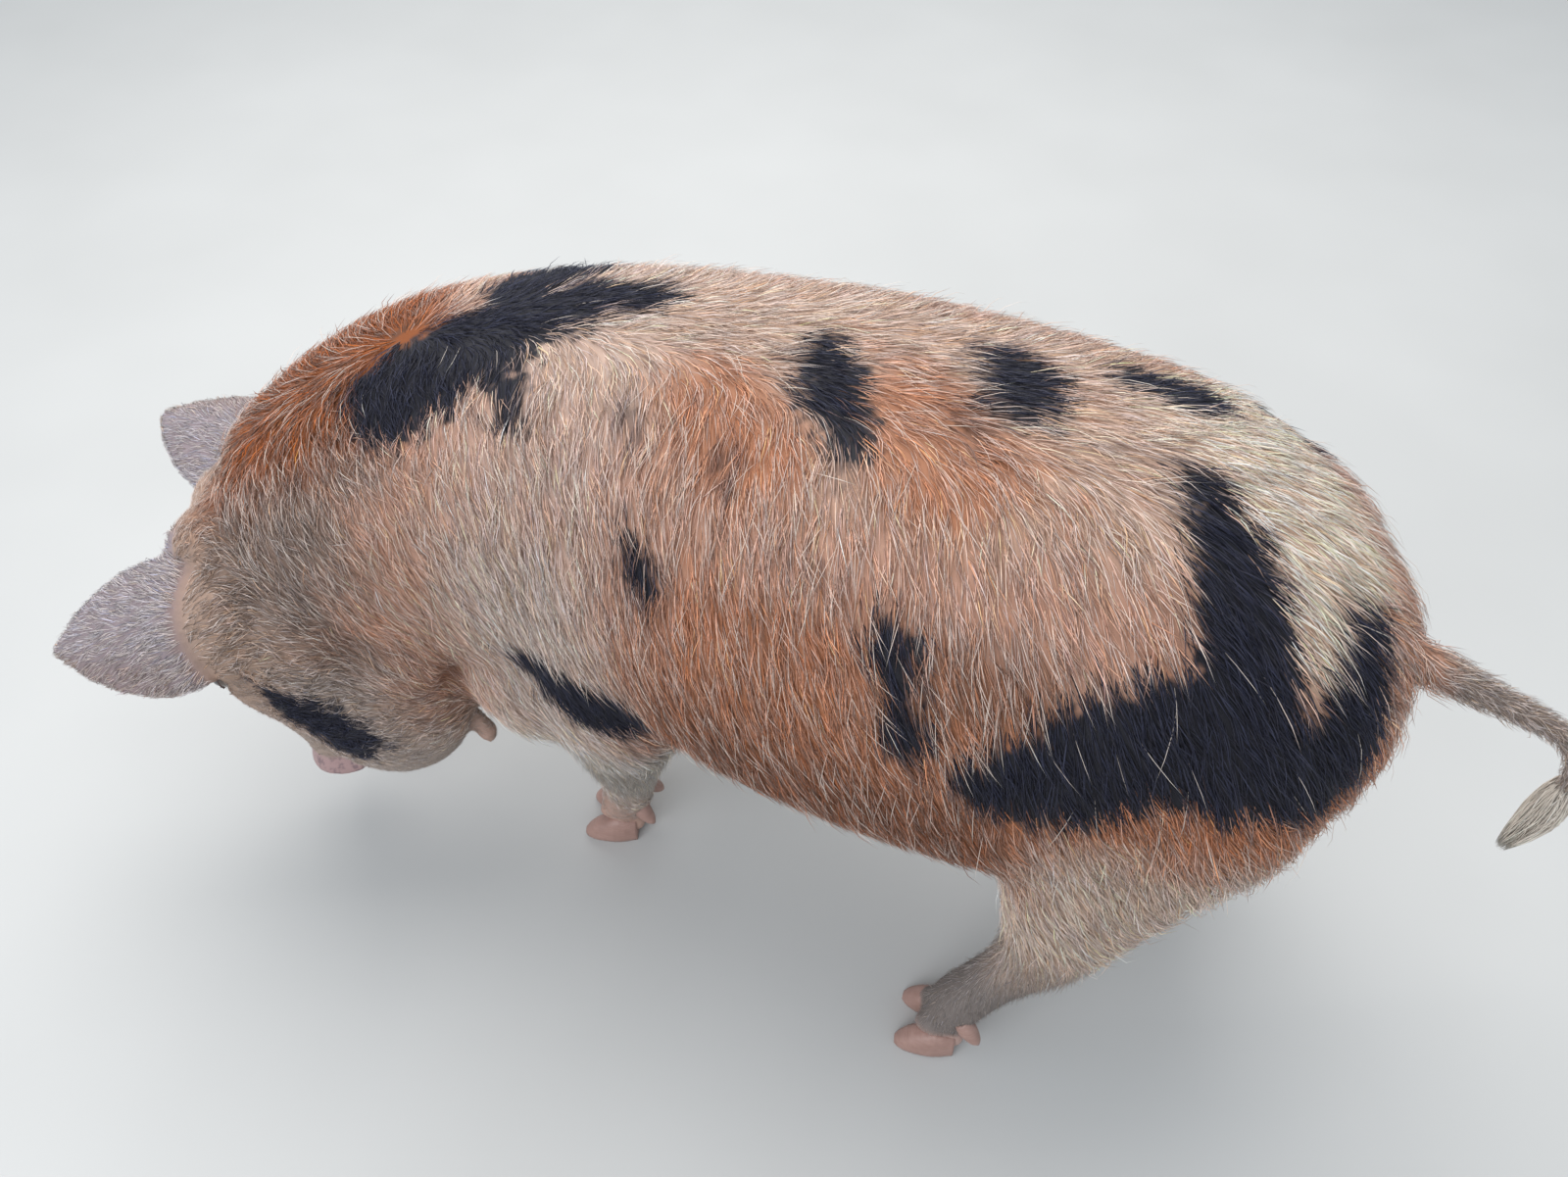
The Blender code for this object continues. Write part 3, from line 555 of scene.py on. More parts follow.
def make_bulbs(leg):
    """The soft skin that swells over each claw, and the pad behind it."""
    foot, toes, across = foot_frame(leg)
    turn = Matrix.Rotation(math.atan2(toes.y, toes.x), 4, "Z")
    made = []
    for side in (1, -1):
        for ahead, beside, up, radii in (
            (0.004, 0.0115, 0.033, (0.019, 0.0125, 0.012)),
            (-0.014, 0.0105, 0.017, (0.012, 0.0115, 0.0135)),
        ):
            centre = foot + toes * ahead + across * side * beside + Vector((0, 0, up))
            made.append(ellipsoid(centre, radii, turn))
    return made


SKIN_VOXEL = 0.0034
pieces = [body, make_snout(), *[make_ear(side) for side in (1, -1)]]
rows = through(TAIL, 4)
pieces.append(pipe("tail", [Vector(row[:3]) for row in rows], [row[3] - 0.001 for row in rows]))
for side in (1, -1):
    points = [head_point(u, side * w, n) for u, w, n in WATTLE]
    pieces.append(pipe("wattle", points, WATTLE_RADII))
for leg in LEGS:
    pieces += make_bulbs(leg)
skin = melted("skin", pieces, SKIN_VOXEL, 5)
print("skin:", len(skin.data.vertices), "points")

# %% [markdown]
# ## Folds of the face
#
# The remesh leaves an even net, too coarse for lids and lips. The faces round the eyes and the muzzle are
# divided once or twice more, and then points are moved along their normals: in along the line of the mouth,
# out for the lips, up and down for the wrinkles over the snout. Each form is one short formula of the
# distance to a named place, which keeps it easy to change.

# %% Helpers on whole arrays of points
def smooth_step(value, start, end):
    share = np.clip((value - start) / (end - start), 0, 1)
    return share * share * (3 - 2 * share)


def hill(value, width):
    """1 at nought, falling away on both sides."""
    return np.exp(-((value / width) ** 2))


def head_places(points):
    """Distance down the face, to the pig's left and out of the forehead."""
    away = points - np.array(POLL)
    return [away @ np.array(axis) for axis in (HEAD_U, HEAD_W, HEAD_N)]


def waves(points, size, seed):
    """A smooth random field whose bumps are about this size."""
    rng = np.random.default_rng(seed)
    total = np.zeros(len(points))
    for _ in range(7):
        way = rng.normal(size=3)
        way *= rng.uniform(0.6, 1.5) * 2 * math.pi / (size * np.linalg.norm(way))
        total += np.sin(points @ way + rng.uniform(0, 2 * math.pi))
    return total / math.sqrt(3.5)


def coordinates(mesh):
    values = np.empty(len(mesh.vertices) * 3, np.float32)
    mesh.vertices.foreach_get("co", values)
    return values.reshape(-1, 3).astype(float)


def point_normals(mesh):
    values = np.empty(len(mesh.vertices) * 3, np.float32)
    mesh.vertex_normals.foreach_get("vector", values)
    return values.reshape(-1, 3).astype(float)


def move_points(mesh, points):
    mesh.vertices.foreach_set("co", points.astype(np.float32).ravel())
    mesh.update()


def eye_frame(side):
    """The middle of an eye and its ways: along the slit, across it and outwards."""
    middle = head_point(EYE[0], side * EYE[1], EYE[2])
    look = (HEAD_U * EYE_LOOK[0] + HEAD_W * side * EYE_LOOK[1] + HEAD_N * EYE_LOOK[2]).normalized()
    slit = (HEAD_U - look * look.dot(HEAD_U)).normalized()
    return middle, slit, look.cross(slit), look


def eye_places(points, side):
    middle, *ways = eye_frame(side)
    return [(points - np.array(middle)) @ np.array(way) for way in ways]


print("middle of the left eye:", [round(value, 3) for value in eye_frame(1)[0]])

# %% Divide the net where the face needs it
def divide(mesh, chosen):
    bm = bmesh.new()
    bm.from_mesh(mesh)
    bm.verts.ensure_lookup_table()
    inside = {bm.verts[i] for i in np.flatnonzero(chosen)}
    edges = [edge for edge in bm.edges if edge.verts[0] in inside and edge.verts[1] in inside]
    bmesh.ops.subdivide_edges(bm, edges=edges, cuts=1, use_grid_fill=True, smooth=0.5)
    bmesh.ops.triangulate(bm, faces=[face for face in bm.faces if len(face.verts) > 4])
    bm.to_mesh(mesh)
    bm.free()


def near_eyes(points, reach):
    away = [np.linalg.norm(points - np.array(eye_frame(side)[0]), axis=1) for side in (1, -1)]
    return np.minimum(*away) < reach


u, w, n = head_places(coordinates(skin.data))
divide(skin.data, (u > 0.172) & (u < 0.31) & (abs(w) < 0.08) & (n > -0.10) & (n < 0.07))
divide(skin.data, near_eyes(coordinates(skin.data), 0.034))
divide(skin.data, near_eyes(coordinates(skin.data), 0.024))
print("skin after dividing:", len(skin.data.vertices), "points")


# %% Mouth, lips, nostrils and wrinkles
def mouth_places(u, n):
    """How far along the mouth from its corner, and how far above it."""
    line = np.array(MOUTH_FRONT) - np.array(MOUTH_BACK)
    length = np.linalg.norm(line)
    away = np.stack([u, n], 1) - np.array(MOUTH_BACK)
    return away @ line / length**2, away @ np.array([-line[1], line[0]]) / length


def carve_face(mesh):
    points, normals = coordinates(mesh), point_normals(mesh)
    u, w, n = head_places(points)
    share, above = mouth_places(u, n)
    above = above + 0.010 * smooth_step(share, 0.25, -0.05) ** 2
    along = smooth_step(share, -0.06, 0.10) * (u < 0.31) * (abs(w) < 0.11)
    out = -0.0042 * hill(above, 0.0016)
    out = out + 0.0016 * hill(above - 0.0055, 0.0040) + 0.0012 * hill(above + 0.0052, 0.0036)
    push = out * along * smooth_step(share, 0.98, 0.80)
    bridge = smooth_step(u, 0.185, 0.215) * smooth_step(u, 0.268, 0.250) * smooth_step(n, -0.035, 0.0)
    curve = u + 9.0 * w * w + 0.0016 * waves(points, 0.07, 3)
    bridge *= 0.55 + 0.45 * np.clip(waves(points, 0.04, 5), -1, 1)
    push += bridge * 0.0008 * np.sin(curve * 2 * math.pi / 0.0125)
    brow = smooth_step(n, -0.01, 0.02) * hill(u - 0.055, 0.030) * (abs(w) < 0.06)
    push += brow * 0.0005 * np.sin((u + 0.003 * waves(points, 0.10, 4)) * 2 * math.pi / 0.016)
    points += normals * push[:, None]
    disc = smooth_step(u, 0.281, 0.288)
    for side in (1, -1):
        across, out = (w - side * NOSTRIL[0]) / NOSTRIL_RADII[0], (n - NOSTRIL[1]) / NOSTRIL_RADII[1]
        inside = np.sqrt((across * 0.94 + out * 0.28 * side) ** 2 + (out * 0.96) ** 2)
        depth = 0.012 * smooth_step(inside, 1.05, 0.55) - 0.0012 * hill(inside - 1.35, 0.30)
        points -= np.array(HEAD_U) * (depth * disc)[:, None]
    points -= np.array(HEAD_U) * (0.0014 * disc * hill(w, 0.0022) * (n < 0.03))[:, None]
    move_points(mesh, points)


carve_face(skin.data)
print("length of the mouth:", round(math.dist(MOUTH_BACK, MOUTH_FRONT), 3))

# %% [markdown]
# ## Eyes that sit in their lids
#
# The lids are the skin itself, drawn over the ball like a hood: near the eye each point is lifted on to a
# sphere a little larger than the ball, and inside an almond shape it drops behind the ball. The ball stays a
# piece of its own, with a bulge in front of the iris.

# %% Lids
LID = 0.0019  # how thick the lid lies over the ball
SLIT_LENGTH = 0.0108  # half of it
SLIT_OPEN = 0.0042  # half of it


def draw_lids(mesh, side):
    points = coordinates(mesh)
    x, y, z = eye_places(points, side)
    _, *ways = [np.array(way) for way in eye_frame(side)]
    reach = np.sqrt(x * x + y * y)
    near = (reach < 0.030) & (z > -0.012)
    ball = np.sqrt(np.maximum((EYE_RADIUS + LID) ** 2 - reach**2, 0))
    hood = np.where(reach < EYE_RADIUS + LID, ball, 0)
    drawn = smooth_step(reach, 0.0165, 0.0115)
    height = z + drawn * (np.maximum(hood, z * 0.3) - z)
    rim = SLIT_OPEN * np.clip(1 - (x / SLIT_LENGTH) ** 2, 0, 1)
    edge = np.abs(y) - rim + 0.004 * np.clip(np.abs(x) / SLIT_LENGTH - 1, 0, 1)
    height += 0.0007 * hill(edge - 0.0012, 0.0011) * (reach < 0.018)
    height -= 0.0010 * hill(edge - 0.0062, 0.0013) * smooth_step(reach, 0.021, 0.014)
    height += 0.0010 * hill(edge - 0.0090, 0.0022) * smooth_step(reach, 0.024, 0.016)
    inside = np.sqrt(np.maximum(EYE_RADIUS**2 - reach**2, 0)) - 0.0045
    height = np.where(near & (edge < 0), np.minimum(height, inside), height)
    height = np.where(near, height, z)
    move_points(mesh, points + ways[2] * (height - z)[:, None])


for side in (1, -1):
    draw_lids(skin.data, side)
shade_smooth(skin)
print("lids drawn")

# %% [markdown]
# ## Where the markings lie
#
# Skin and bristles must agree about every black patch. So the markings are worked out once, by one function
# of a place on the body, and each skin point and each hair asks it. A patch is a chain of balls of named
# size. A place is black when it lies inside the chain, and a smooth random field frays the edge.

# %% Patches and colours
# The black is lifted a little and tinted blue: partly the hair's own black, partly painted sheen.
BLACK = tone(34, 35, 46)
PATCHES = [  # strength, then x, y, z and radius of each ball in the chain
    (1.0, [(-0.408, -0.108, 0.528, 0.022), (-0.385, -0.112, 0.535, 0.040), (-0.352, -0.070, 0.558, 0.046),
           (-0.316, -0.030, 0.570, 0.042), (-0.278, 0.006, 0.578, 0.034), (-0.238, 0.024, 0.582, 0.026)]),
    (1.0, [(-0.339, 0.010, 0.565, 0.034), (-0.330, 0.060, 0.545, 0.038), (-0.345, 0.095, 0.515, 0.026)]),
    (1.0, [(-0.298, -0.092, 0.555, 0.015), (-0.291, -0.112, 0.546, 0.018)]),
    (0.55, [(-0.199, -0.090, 0.562, 0.009), (-0.193, -0.108, 0.555, 0.010)]),
    (0.55, [(-0.126, -0.104, 0.564, 0.009), (-0.118, -0.124, 0.556, 0.008)]),
    (1.0, [(-0.093, -0.008, 0.593, 0.020), (-0.073, -0.048, 0.589, 0.024), (-0.054, -0.078, 0.580, 0.015)]),
    (0.6, [(-0.054, -0.080, 0.579, 0.012), (-0.044, -0.100, 0.571, 0.007)]),
    (1.0, [(0.022, 0.038, 0.590, 0.022), (0.040, 0.014, 0.592, 0.032), (0.047, -0.010, 0.590, 0.020)]),
    (0.5, [(0.018, -0.036, 0.588, 0.009), (0.028, -0.058, 0.584, 0.009)]),
    (1.0, [(0.104, 0.066, 0.578, 0.020), (0.130, 0.064, 0.576, 0.026), (0.154, 0.066, 0.571, 0.022)]),
    (1.0, [(-0.179, -0.152, 0.505, 0.009), (-0.166, -0.166, 0.491, 0.012), (-0.153, -0.176, 0.470, 0.008)]),
    (1.0, [(-0.266, -0.166, 0.328, 0.026), (-0.236, -0.166, 0.314, 0.040), (-0.200, -0.166, 0.302, 0.038)]),
    (1.0, [(0.006, -0.162, 0.518, 0.012), (0.016, -0.176, 0.502, 0.018), (0.030, -0.190, 0.470, 0.010),
           (0.033, -0.194, 0.452, 0.018)]),
    (0.6, [(0.035, -0.197, 0.430, 0.010), (0.045, -0.198, 0.415, 0.010)]),
    (1.0, [(0.166, -0.024, 0.577, 0.016), (0.185, -0.050, 0.568, 0.028), (0.206, -0.080, 0.550, 0.035),
           (0.224, -0.124, 0.508, 0.040), (0.208, -0.150, 0.482, 0.048), (0.165, -0.172, 0.468, 0.050),
           (0.126, -0.188, 0.440, 0.046), (0.098, -0.195, 0.424, 0.030)]),
    (1.0, [(0.215, -0.142, 0.482, 0.044), (0.250, -0.136, 0.454, 0.046), (0.290, -0.110, 0.440, 0.040)]),
    (1.0, [(0.300, -0.018, 0.506, 0.014), (0.294, -0.044, 0.503, 0.022), (0.296, -0.083, 0.478, 0.034),
           (0.292, -0.110, 0.440, 0.040)]),
    (1.0, [(-0.482, -0.240, 0.286, 0.020), (-0.468, -0.238, 0.266, 0.027), (-0.444, -0.232, 0.246, 0.032),
           (-0.422, -0.228, 0.238, 0.028)]),
    (1.0, [(-0.080, 0.175, 0.470, 0.034), (-0.040, 0.190, 0.430, 0.038)]),
    (1.0, [(0.190, 0.130, 0.500, 0.044), (0.230, 0.140, 0.430, 0.044), (0.190, 0.165, 0.370, 0.034)]),
    (0.9, [(0.050, 0.150, 0.520, 0.016), (0.065, 0.172, 0.490, 0.018)]),
    (0.9, [(-0.230, 0.160, 0.420, 0.024), (-0.210, 0.165, 0.390, 0.022)]),
    (1.0, [(-0.560, -0.072, 0.300, 0.024), (-0.540, -0.068, 0.250, 0.020)]),
]


def chain_distance(points, chain):
    """How far each place stands outside this chain of balls, below nought inside it."""
    nearest = np.full(len(points), 9.0)
    for start, end in zip(chain, chain[1:]):
        start, end = np.array(start), np.array(end)
        line = end[:3] - start[:3]
        share = np.clip((points - start[:3]) @ line / (line @ line), 0, 1)
        place = start[:3] + share[:, None] * line
        radius = start[3] + share * (end[3] - start[3])
        nearest = np.minimum(nearest, np.linalg.norm(points - place, axis=1) - radius)
    return nearest


def near_chain(points, chain, softness):
    return smooth_step(chain_distance(points, chain), softness, 0)


def blackness(points):
    fray = 0.0035 * waves(points, 0.016, 11) + 0.0025 * waves(points, 0.045, 12)
    total = np.zeros(len(points))
    for strength, chain in PATCHES:
        away = chain_distance(points, chain) + fray
        total = np.maximum(total, strength * smooth_step(away, 0.005, -0.005))
    return total


TAN, PALE_TAN, BLOND = tone(224, 170, 143), tone(234, 196, 172), tone(255, 216, 188)
GINGER, DEEP_GINGER_AND_SHADE, RUFOUS = tone(212, 136, 92), tone(154, 92, 56), tone(162, 86, 30)
EAR_GREY, UMBER = tone(178, 170, 178), tone(104, 70, 50)
GREY_BROWN, JOWL, CREAM = tone(154, 127, 112), tone(176, 158, 146), tone(226, 214, 200)
FACE_TAN = tone(182, 154, 136)
MAUVE, DARK_MAUVE = tone(132, 116, 118), tone(96, 76, 78)
NAPE = [(-0.572, -0.136, 0.420, 0.034), (-0.514, -0.112, 0.482, 0.052), (-0.457, -0.092, 0.514, 0.052),
        (-0.420, -0.060, 0.528, 0.030)]
FAR_NAPE = [(-0.545, -0.090, 0.440, 0.046), (-0.455, -0.020, 0.505, 0.040)]
DARK_FLANK = [(0.030, -0.192, 0.470, 0.010), (0.055, -0.180, 0.492, 0.018), (0.088, -0.170, 0.500, 0.012)]
ORANGE = [  # places on the back and the flank where the coat is reddest
    [(-0.150, -0.070, 0.575, 0.020), (-0.110, -0.100, 0.570, 0.022)],
    [(-0.020, -0.050, 0.586, 0.026), (0.015, -0.075, 0.580, 0.028)],
    [(-0.100, -0.178, 0.460, 0.030), (0.000, -0.190, 0.460, 0.036), (0.090, -0.185, 0.460, 0.030)],
]
RUMP_BANDS = [
    [(0.165, 0.061, 0.569, 0.040), (0.218, 0.006, 0.556, 0.034), (0.244, -0.032, 0.540, 0.026),
     (0.258, -0.081, 0.514, 0.012)],
    [(0.190, 0.090, 0.560, 0.030), (0.234, 0.045, 0.543, 0.034), (0.265, 0.005, 0.527, 0.032),
     (0.284, -0.040, 0.510, 0.018)],
]


def head_share(points):
    """1 on the head, 0 on the neck and the body."""
    middle, way = (np.array(value) for value in HEAD_CUT)
    return smooth_step((points - middle) @ way, 0.035, -0.045)


def blend(colour, other, share):
    return colour + (np.array(other) - colour) * share[:, None]


def ear_places(points, side):
    """How far along the ear, how far across it and how far over its middle sheet."""
    base, along, chord, out = (np.array(value) for value in ear_frame(side))
    away = points - base
    share = away @ along / (along @ along)
    sections = np.array(EAR_SECTIONS)
    width, cup, arch = (np.interp(share, sections[:, 0], sections[:, k]) for k in (1, 2, 3))
    across = away @ chord / np.maximum(width, 0.004)
    over = away @ out - arch - cup * (1 - np.clip(across, -1, 1) ** 2) + EAR_THICKNESS / 2
    return share, across, over


def on_ear(points, side, reach):
    """1 on an ear, fading into the head over its root."""
    share, across, over = ear_places(points, side)
    near = smooth_step(np.abs(across), 1.5, 1.2) * smooth_step(np.abs(over), reach, 0.7 * reach)
    return near * smooth_step(share, 0.00, 0.12) * (share < 1.1)


def ear_side(points):
    """1 on the left ear, -1 on the right ear, 0 elsewhere."""
    found = np.zeros(len(points), int)
    for side in (1, -1):
        found += side * (on_ear(points, side, 0.012) > 0.5) * (ear_places(points, side)[0] > 0.05)
    return found


def coat_colour(points):
    """The colour of the coat at each of these places on the body."""
    x, y, z = points.T
    u, w, n = head_places(points)
    head = head_share(points)
    drift = waves(points, 0.09, 21) * 0.5 + waves(points, 0.03, 22) * 0.35
    colour = np.tile(np.array(TAN), (len(points), 1))
    colour = blend(colour, PALE_TAN, smooth_step(z + 0.012 * drift, 0.540, 0.580))
    colour = blend(colour, GINGER, smooth_step(z + 0.03 * drift, 0.480, 0.400) * smooth_step(x, -0.30, -0.05))
    colour = blend(colour, GINGER, 0.5 * smooth_step(drift, 0.2, 1.2) * (1 - head))
    for chain in ORANGE:
        colour = blend(colour, GINGER, 0.8 * near_chain(points, chain, 0.040))
    # The belly darkens to a deeper ginger: partly the coat's own colour, partly painted shade under the body.
    belly = smooth_step(z + 0.01 * drift, 0.440, 0.350) * smooth_step(x, -0.26, -0.10)
    colour = blend(colour, DEEP_GINGER_AND_SHADE, belly * smooth_step(x, 0.17, 0.08))
    chest = smooth_step(x, -0.16, -0.24) * smooth_step(x, -0.36, -0.28)
    colour = blend(colour, tone(250, 222, 206), chest * (0.45 + 0.45 * smooth_step(z, 0.500, 0.420)))
    colour = blend(colour, UMBER, 0.45 * near_chain(points, DARK_FLANK, 0.030))
    neck = smooth_step(x + 0.02 * drift, -0.352, -0.440) * smooth_step(y, 0.05, -0.02)
    colour = blend(colour, GREY_BROWN, neck)
    for chain in RUMP_BANDS:
        colour = blend(colour, BLOND, near_chain(points, chain, 0.024))
    for chain in (NAPE, FAR_NAPE):
        colour = blend(colour, RUFOUS, near_chain(points + 0.010 * drift[:, None], chain, 0.060))
    nape_shadow = smooth_step(waves(points, 0.028, 23), 0.3, 1.3) * near_chain(points, NAPE, 0.02)
    colour = blend(colour, UMBER, 0.7 * nape_shadow)
    colour = blend(colour, FACE_TAN, head * 0.92)
    colour = blend(colour, tone(214, 172, 144), head * smooth_step(drift, -0.4, 1.0) * 0.6)
    jowl = np.maximum(smooth_step(n, -0.04, -0.10), 0.8 * smooth_step(u, 0.12, 0.20))
    colour = blend(colour, JOWL, head * jowl)
    for side in (1, -1):
        share, across, _ = ear_places(points, side)
        on = on_ear(points, side, 0.020)
        colour = blend(colour, EAR_GREY, on * smooth_step(share, 0.02, 0.14))
        rim = smooth_step(across, 0.0, 0.9) * smooth_step(share, 0.1, 0.3)
        colour = blend(colour, tone(166, 142, 136), on * rim)
        colour = blend(colour, tone(160, 134, 124), on * 0.7 * smooth_step(share, 0.20, 0.08))
    fore = smooth_step(x, -0.02, -0.06)
    colour = blend(colour, CREAM, smooth_step(z, 0.250, 0.190) * fore * (1 - head))
    thigh = smooth_step(z + 0.012 * drift, 0.395, 0.330) * smooth_step(x, 0.10, 0.16)
    shank = smooth_step(z, 0.300, 0.220) * (1 - fore)
    colour = blend(colour, tone(250, 218, 196), 0.9 * np.maximum(thigh, shank))
    colour = blend(colour, tone(150, 138, 132), smooth_step(z, 0.170, 0.100) * (1 - fore))
    colour = blend(colour, tone(172, 151, 138), smooth_step(x, 0.33, 0.36))
    return blend(colour, BLACK, blackness(points) * smooth_step(x, 0.345, 0.325))


print("patches:", len(PATCHES))

# %% [markdown]
# ## Which way the hair lies
#
# On a pig the hair starts straight back along the spine and swings down as the side grows steeper, till it
# falls at about 64 degrees to the body. On the face it runs from the snout up to the poll and back over the
# cheeks, on the legs down, on the ears out to the tip. A rule for each region gives a direction. Trunk, head
# and legs are blended, so that no parting shows, and only at the root of an ear does the hair part.

# %% Regions of the skin
def unit(ways):
    return ways / np.maximum(np.linalg.norm(ways, axis=1), 1e-9)[:, None]


def leg_axis(points):
    """The nearest leg of each place, and the middle of that leg at its height."""
    middles = []
    for rows in LEGS.values():
        line = np.array(rows)[::-1]
        middles.append(np.stack([np.interp(points[:, 2], line[:, 2], line[:, k]) for k in (0, 1)], 1))
    away = np.array([np.linalg.norm(points[:, :2] - middle, axis=1) for middle in middles])
    nearest = away.argmin(0)
    return nearest, np.array(middles)[nearest, np.arange(len(points))]


BODY, HEAD, EARS, LEG_REGION, TAIL_REGION = range(5)


def regions(points):
    """The number of the region that each place lies in."""
    head = head_share(points)
    found = np.where(head > 0.5, HEAD, BODY)
    found[(points[:, 2] < 0.20) & (head < 0.2)] = LEG_REGION
    found[(points[:, 0] > 0.33) & (points[:, 2] < 0.49)] = TAIL_REGION
    found[ear_side(points) != 0] = EARS
    return found


print("skin points by region:", np.bincount(regions(coordinates(skin.data))))

# %% The lie of the coat
SPINE_CURVE = through(SPINE, 5)[::-1]
STEEPEST_LIE = math.radians(64)


def lie(points, normals):
    """The way the hair runs at each of these places, in the plane of the skin."""
    x, y, z = points.T
    tangent = np.gradient(SPINE_CURVE[:, :3], axis=0)
    back = unit(np.stack([np.interp(x, SPINE_CURVE[:, 0], tangent[:, k]) for k in range(3)], 1))
    back = unit(back - normals * (back * normals).sum(1)[:, None])
    down = np.array([0.0, 0.0, -1.0]) + normals * normals[:, 2:]
    steep = np.linalg.norm(down, axis=1)
    down = down / np.maximum(steep, 1e-6)[:, None]
    angle = STEEPEST_LIE * smooth_step(steep, 0.03, 0.42) * (0.80 + 0.20 * smooth_step(x, -0.42, -0.30))
    angle = angle * (1 - 0.35 * smooth_step(z, 0.34, 0.24))
    trunk = back * np.cos(angle)[:, None] + down * np.sin(angle)[:, None]
    side = np.abs(normals @ np.array(HEAD_W))
    face = -np.array(HEAD_U) * (1 - 0.75 * side)[:, None] - np.array(HEAD_N) * (0.9 * side)[:, None]
    share = head_share(points)[:, None]
    way = trunk * (1 - share) + unit(face) * share
    leg = smooth_step(z, 0.26, 0.17)[:, None] * (1 - share)
    way = way * (1 - leg) + np.array([0.22, 0, -1.0]) * leg
    tail = np.gradient(np.array(TAIL)[:, :3], axis=0)
    along = np.stack([np.interp(x, np.array(TAIL)[:, 0], tail[:, k]) for k in range(3)], 1)
    way = np.where((x > 0.33)[:, None], unit(along), way)
    ears = ear_side(points)
    for ear in (1, -1):
        _, ear_along, chord, _ = (np.array(value) for value in ear_frame(ear))
        _, across, _ = ear_places(points, ear)
        fan = ear_along / np.linalg.norm(ear_along) + chord * (0.55 * np.clip(across, -1, 1))[:, None]
        way = np.where((ears == ear)[:, None], fan, way)
    return unit(way - normals * (way * normals).sum(1)[:, None])


# %% Let the skin lie a coat's depth inside the solids
COAT_DEPTHS = (0.0022, 0.0020, 0.0003, 0.0014, 0.0008)  # on body, head, ears, legs and tail


def soften_rims(mesh):
    """Smooth the ears' edges, which the remesh left ragged."""
    points = coordinates(mesh)
    rim = np.zeros(len(points), bool)
    for side in (1, -1):
        share, across, over = ear_places(points, side)
        edge = (np.abs(across) > 0.70) | (share > 0.80)
        rim |= edge & (share > -0.10) & (share < 1.15) & (np.abs(across) < 1.4) & (np.abs(over) < 0.010)
    bm = bmesh.new()
    bm.from_mesh(mesh)
    bm.verts.ensure_lookup_table()
    chosen = [bm.verts[i] for i in np.flatnonzero(rim)]
    for _ in range(12):
        bmesh.ops.smooth_vert(bm, verts=chosen, factor=0.5, use_axis_x=True, use_axis_y=True, use_axis_z=True)
    bm.to_mesh(mesh)
    bm.free()


def sink_skin(mesh):
    """Move the skin inwards by the coat's depth, and thin the ears."""
    points = coordinates(mesh)
    depth = np.array(COAT_DEPTHS)[regions(points)]
    moved = points - point_normals(mesh) * depth[:, None]
    ears = ear_side(points)
    for side in (1, -1):
        share, _, over = ear_places(points, side)
        out = np.array(ear_frame(side)[3])
        moved -= out * (0.35 * over * smooth_step(share, 0.15, 0.45) * (ears == side))[:, None]
    move_points(mesh, moved)


soften_rims(skin.data)
sink_skin(skin.data)
print("lowest point of the skin:", round(float(coordinates(skin.data)[:, 2].min()), 4))

# %% [markdown]
# ## The colour of the bare skin
#
# Under the hair the skin takes the coat's colour, darker, as dense bristles shade it. Where a pig is bare it
# shows its own colours: the snout's disc is a mottled greyish pink, the rims of the lids are dark, and the
# hollow of the ear and the bulbs over the claws are pink. The line of the mouth towards its corner and the
# insides of the nostrils are painted dark too, painted shade in the crease and the holes.

# %% Paint values on the skin
def bareness(points, normals):
    """1 where no hair grows."""
    u, w, n = head_places(points)
    head = head_share(points)
    bare = smooth_step(u, 0.262, 0.274) * head * (n > -0.06)
    share, above = mouth_places(u, n)
    bare = np.maximum(bare, hill(above, 0.0035) * head * smooth_step(share, 0.0, 0.12) * (u < 0.31))
    for side in (1, -1):
        x, y, z = eye_places(points, side)
        eye = (np.abs(z - 0.008) < 0.020) * smooth_step(np.hypot(x / 1.15, y), 0.0115, 0.0080)
        bare = np.maximum(bare, eye)
    return np.maximum(bare, smooth_step(points[:, 2], 0.040, 0.026))


HAIR_HEIGHT = 0.007  # how far over the skin the markings are measured


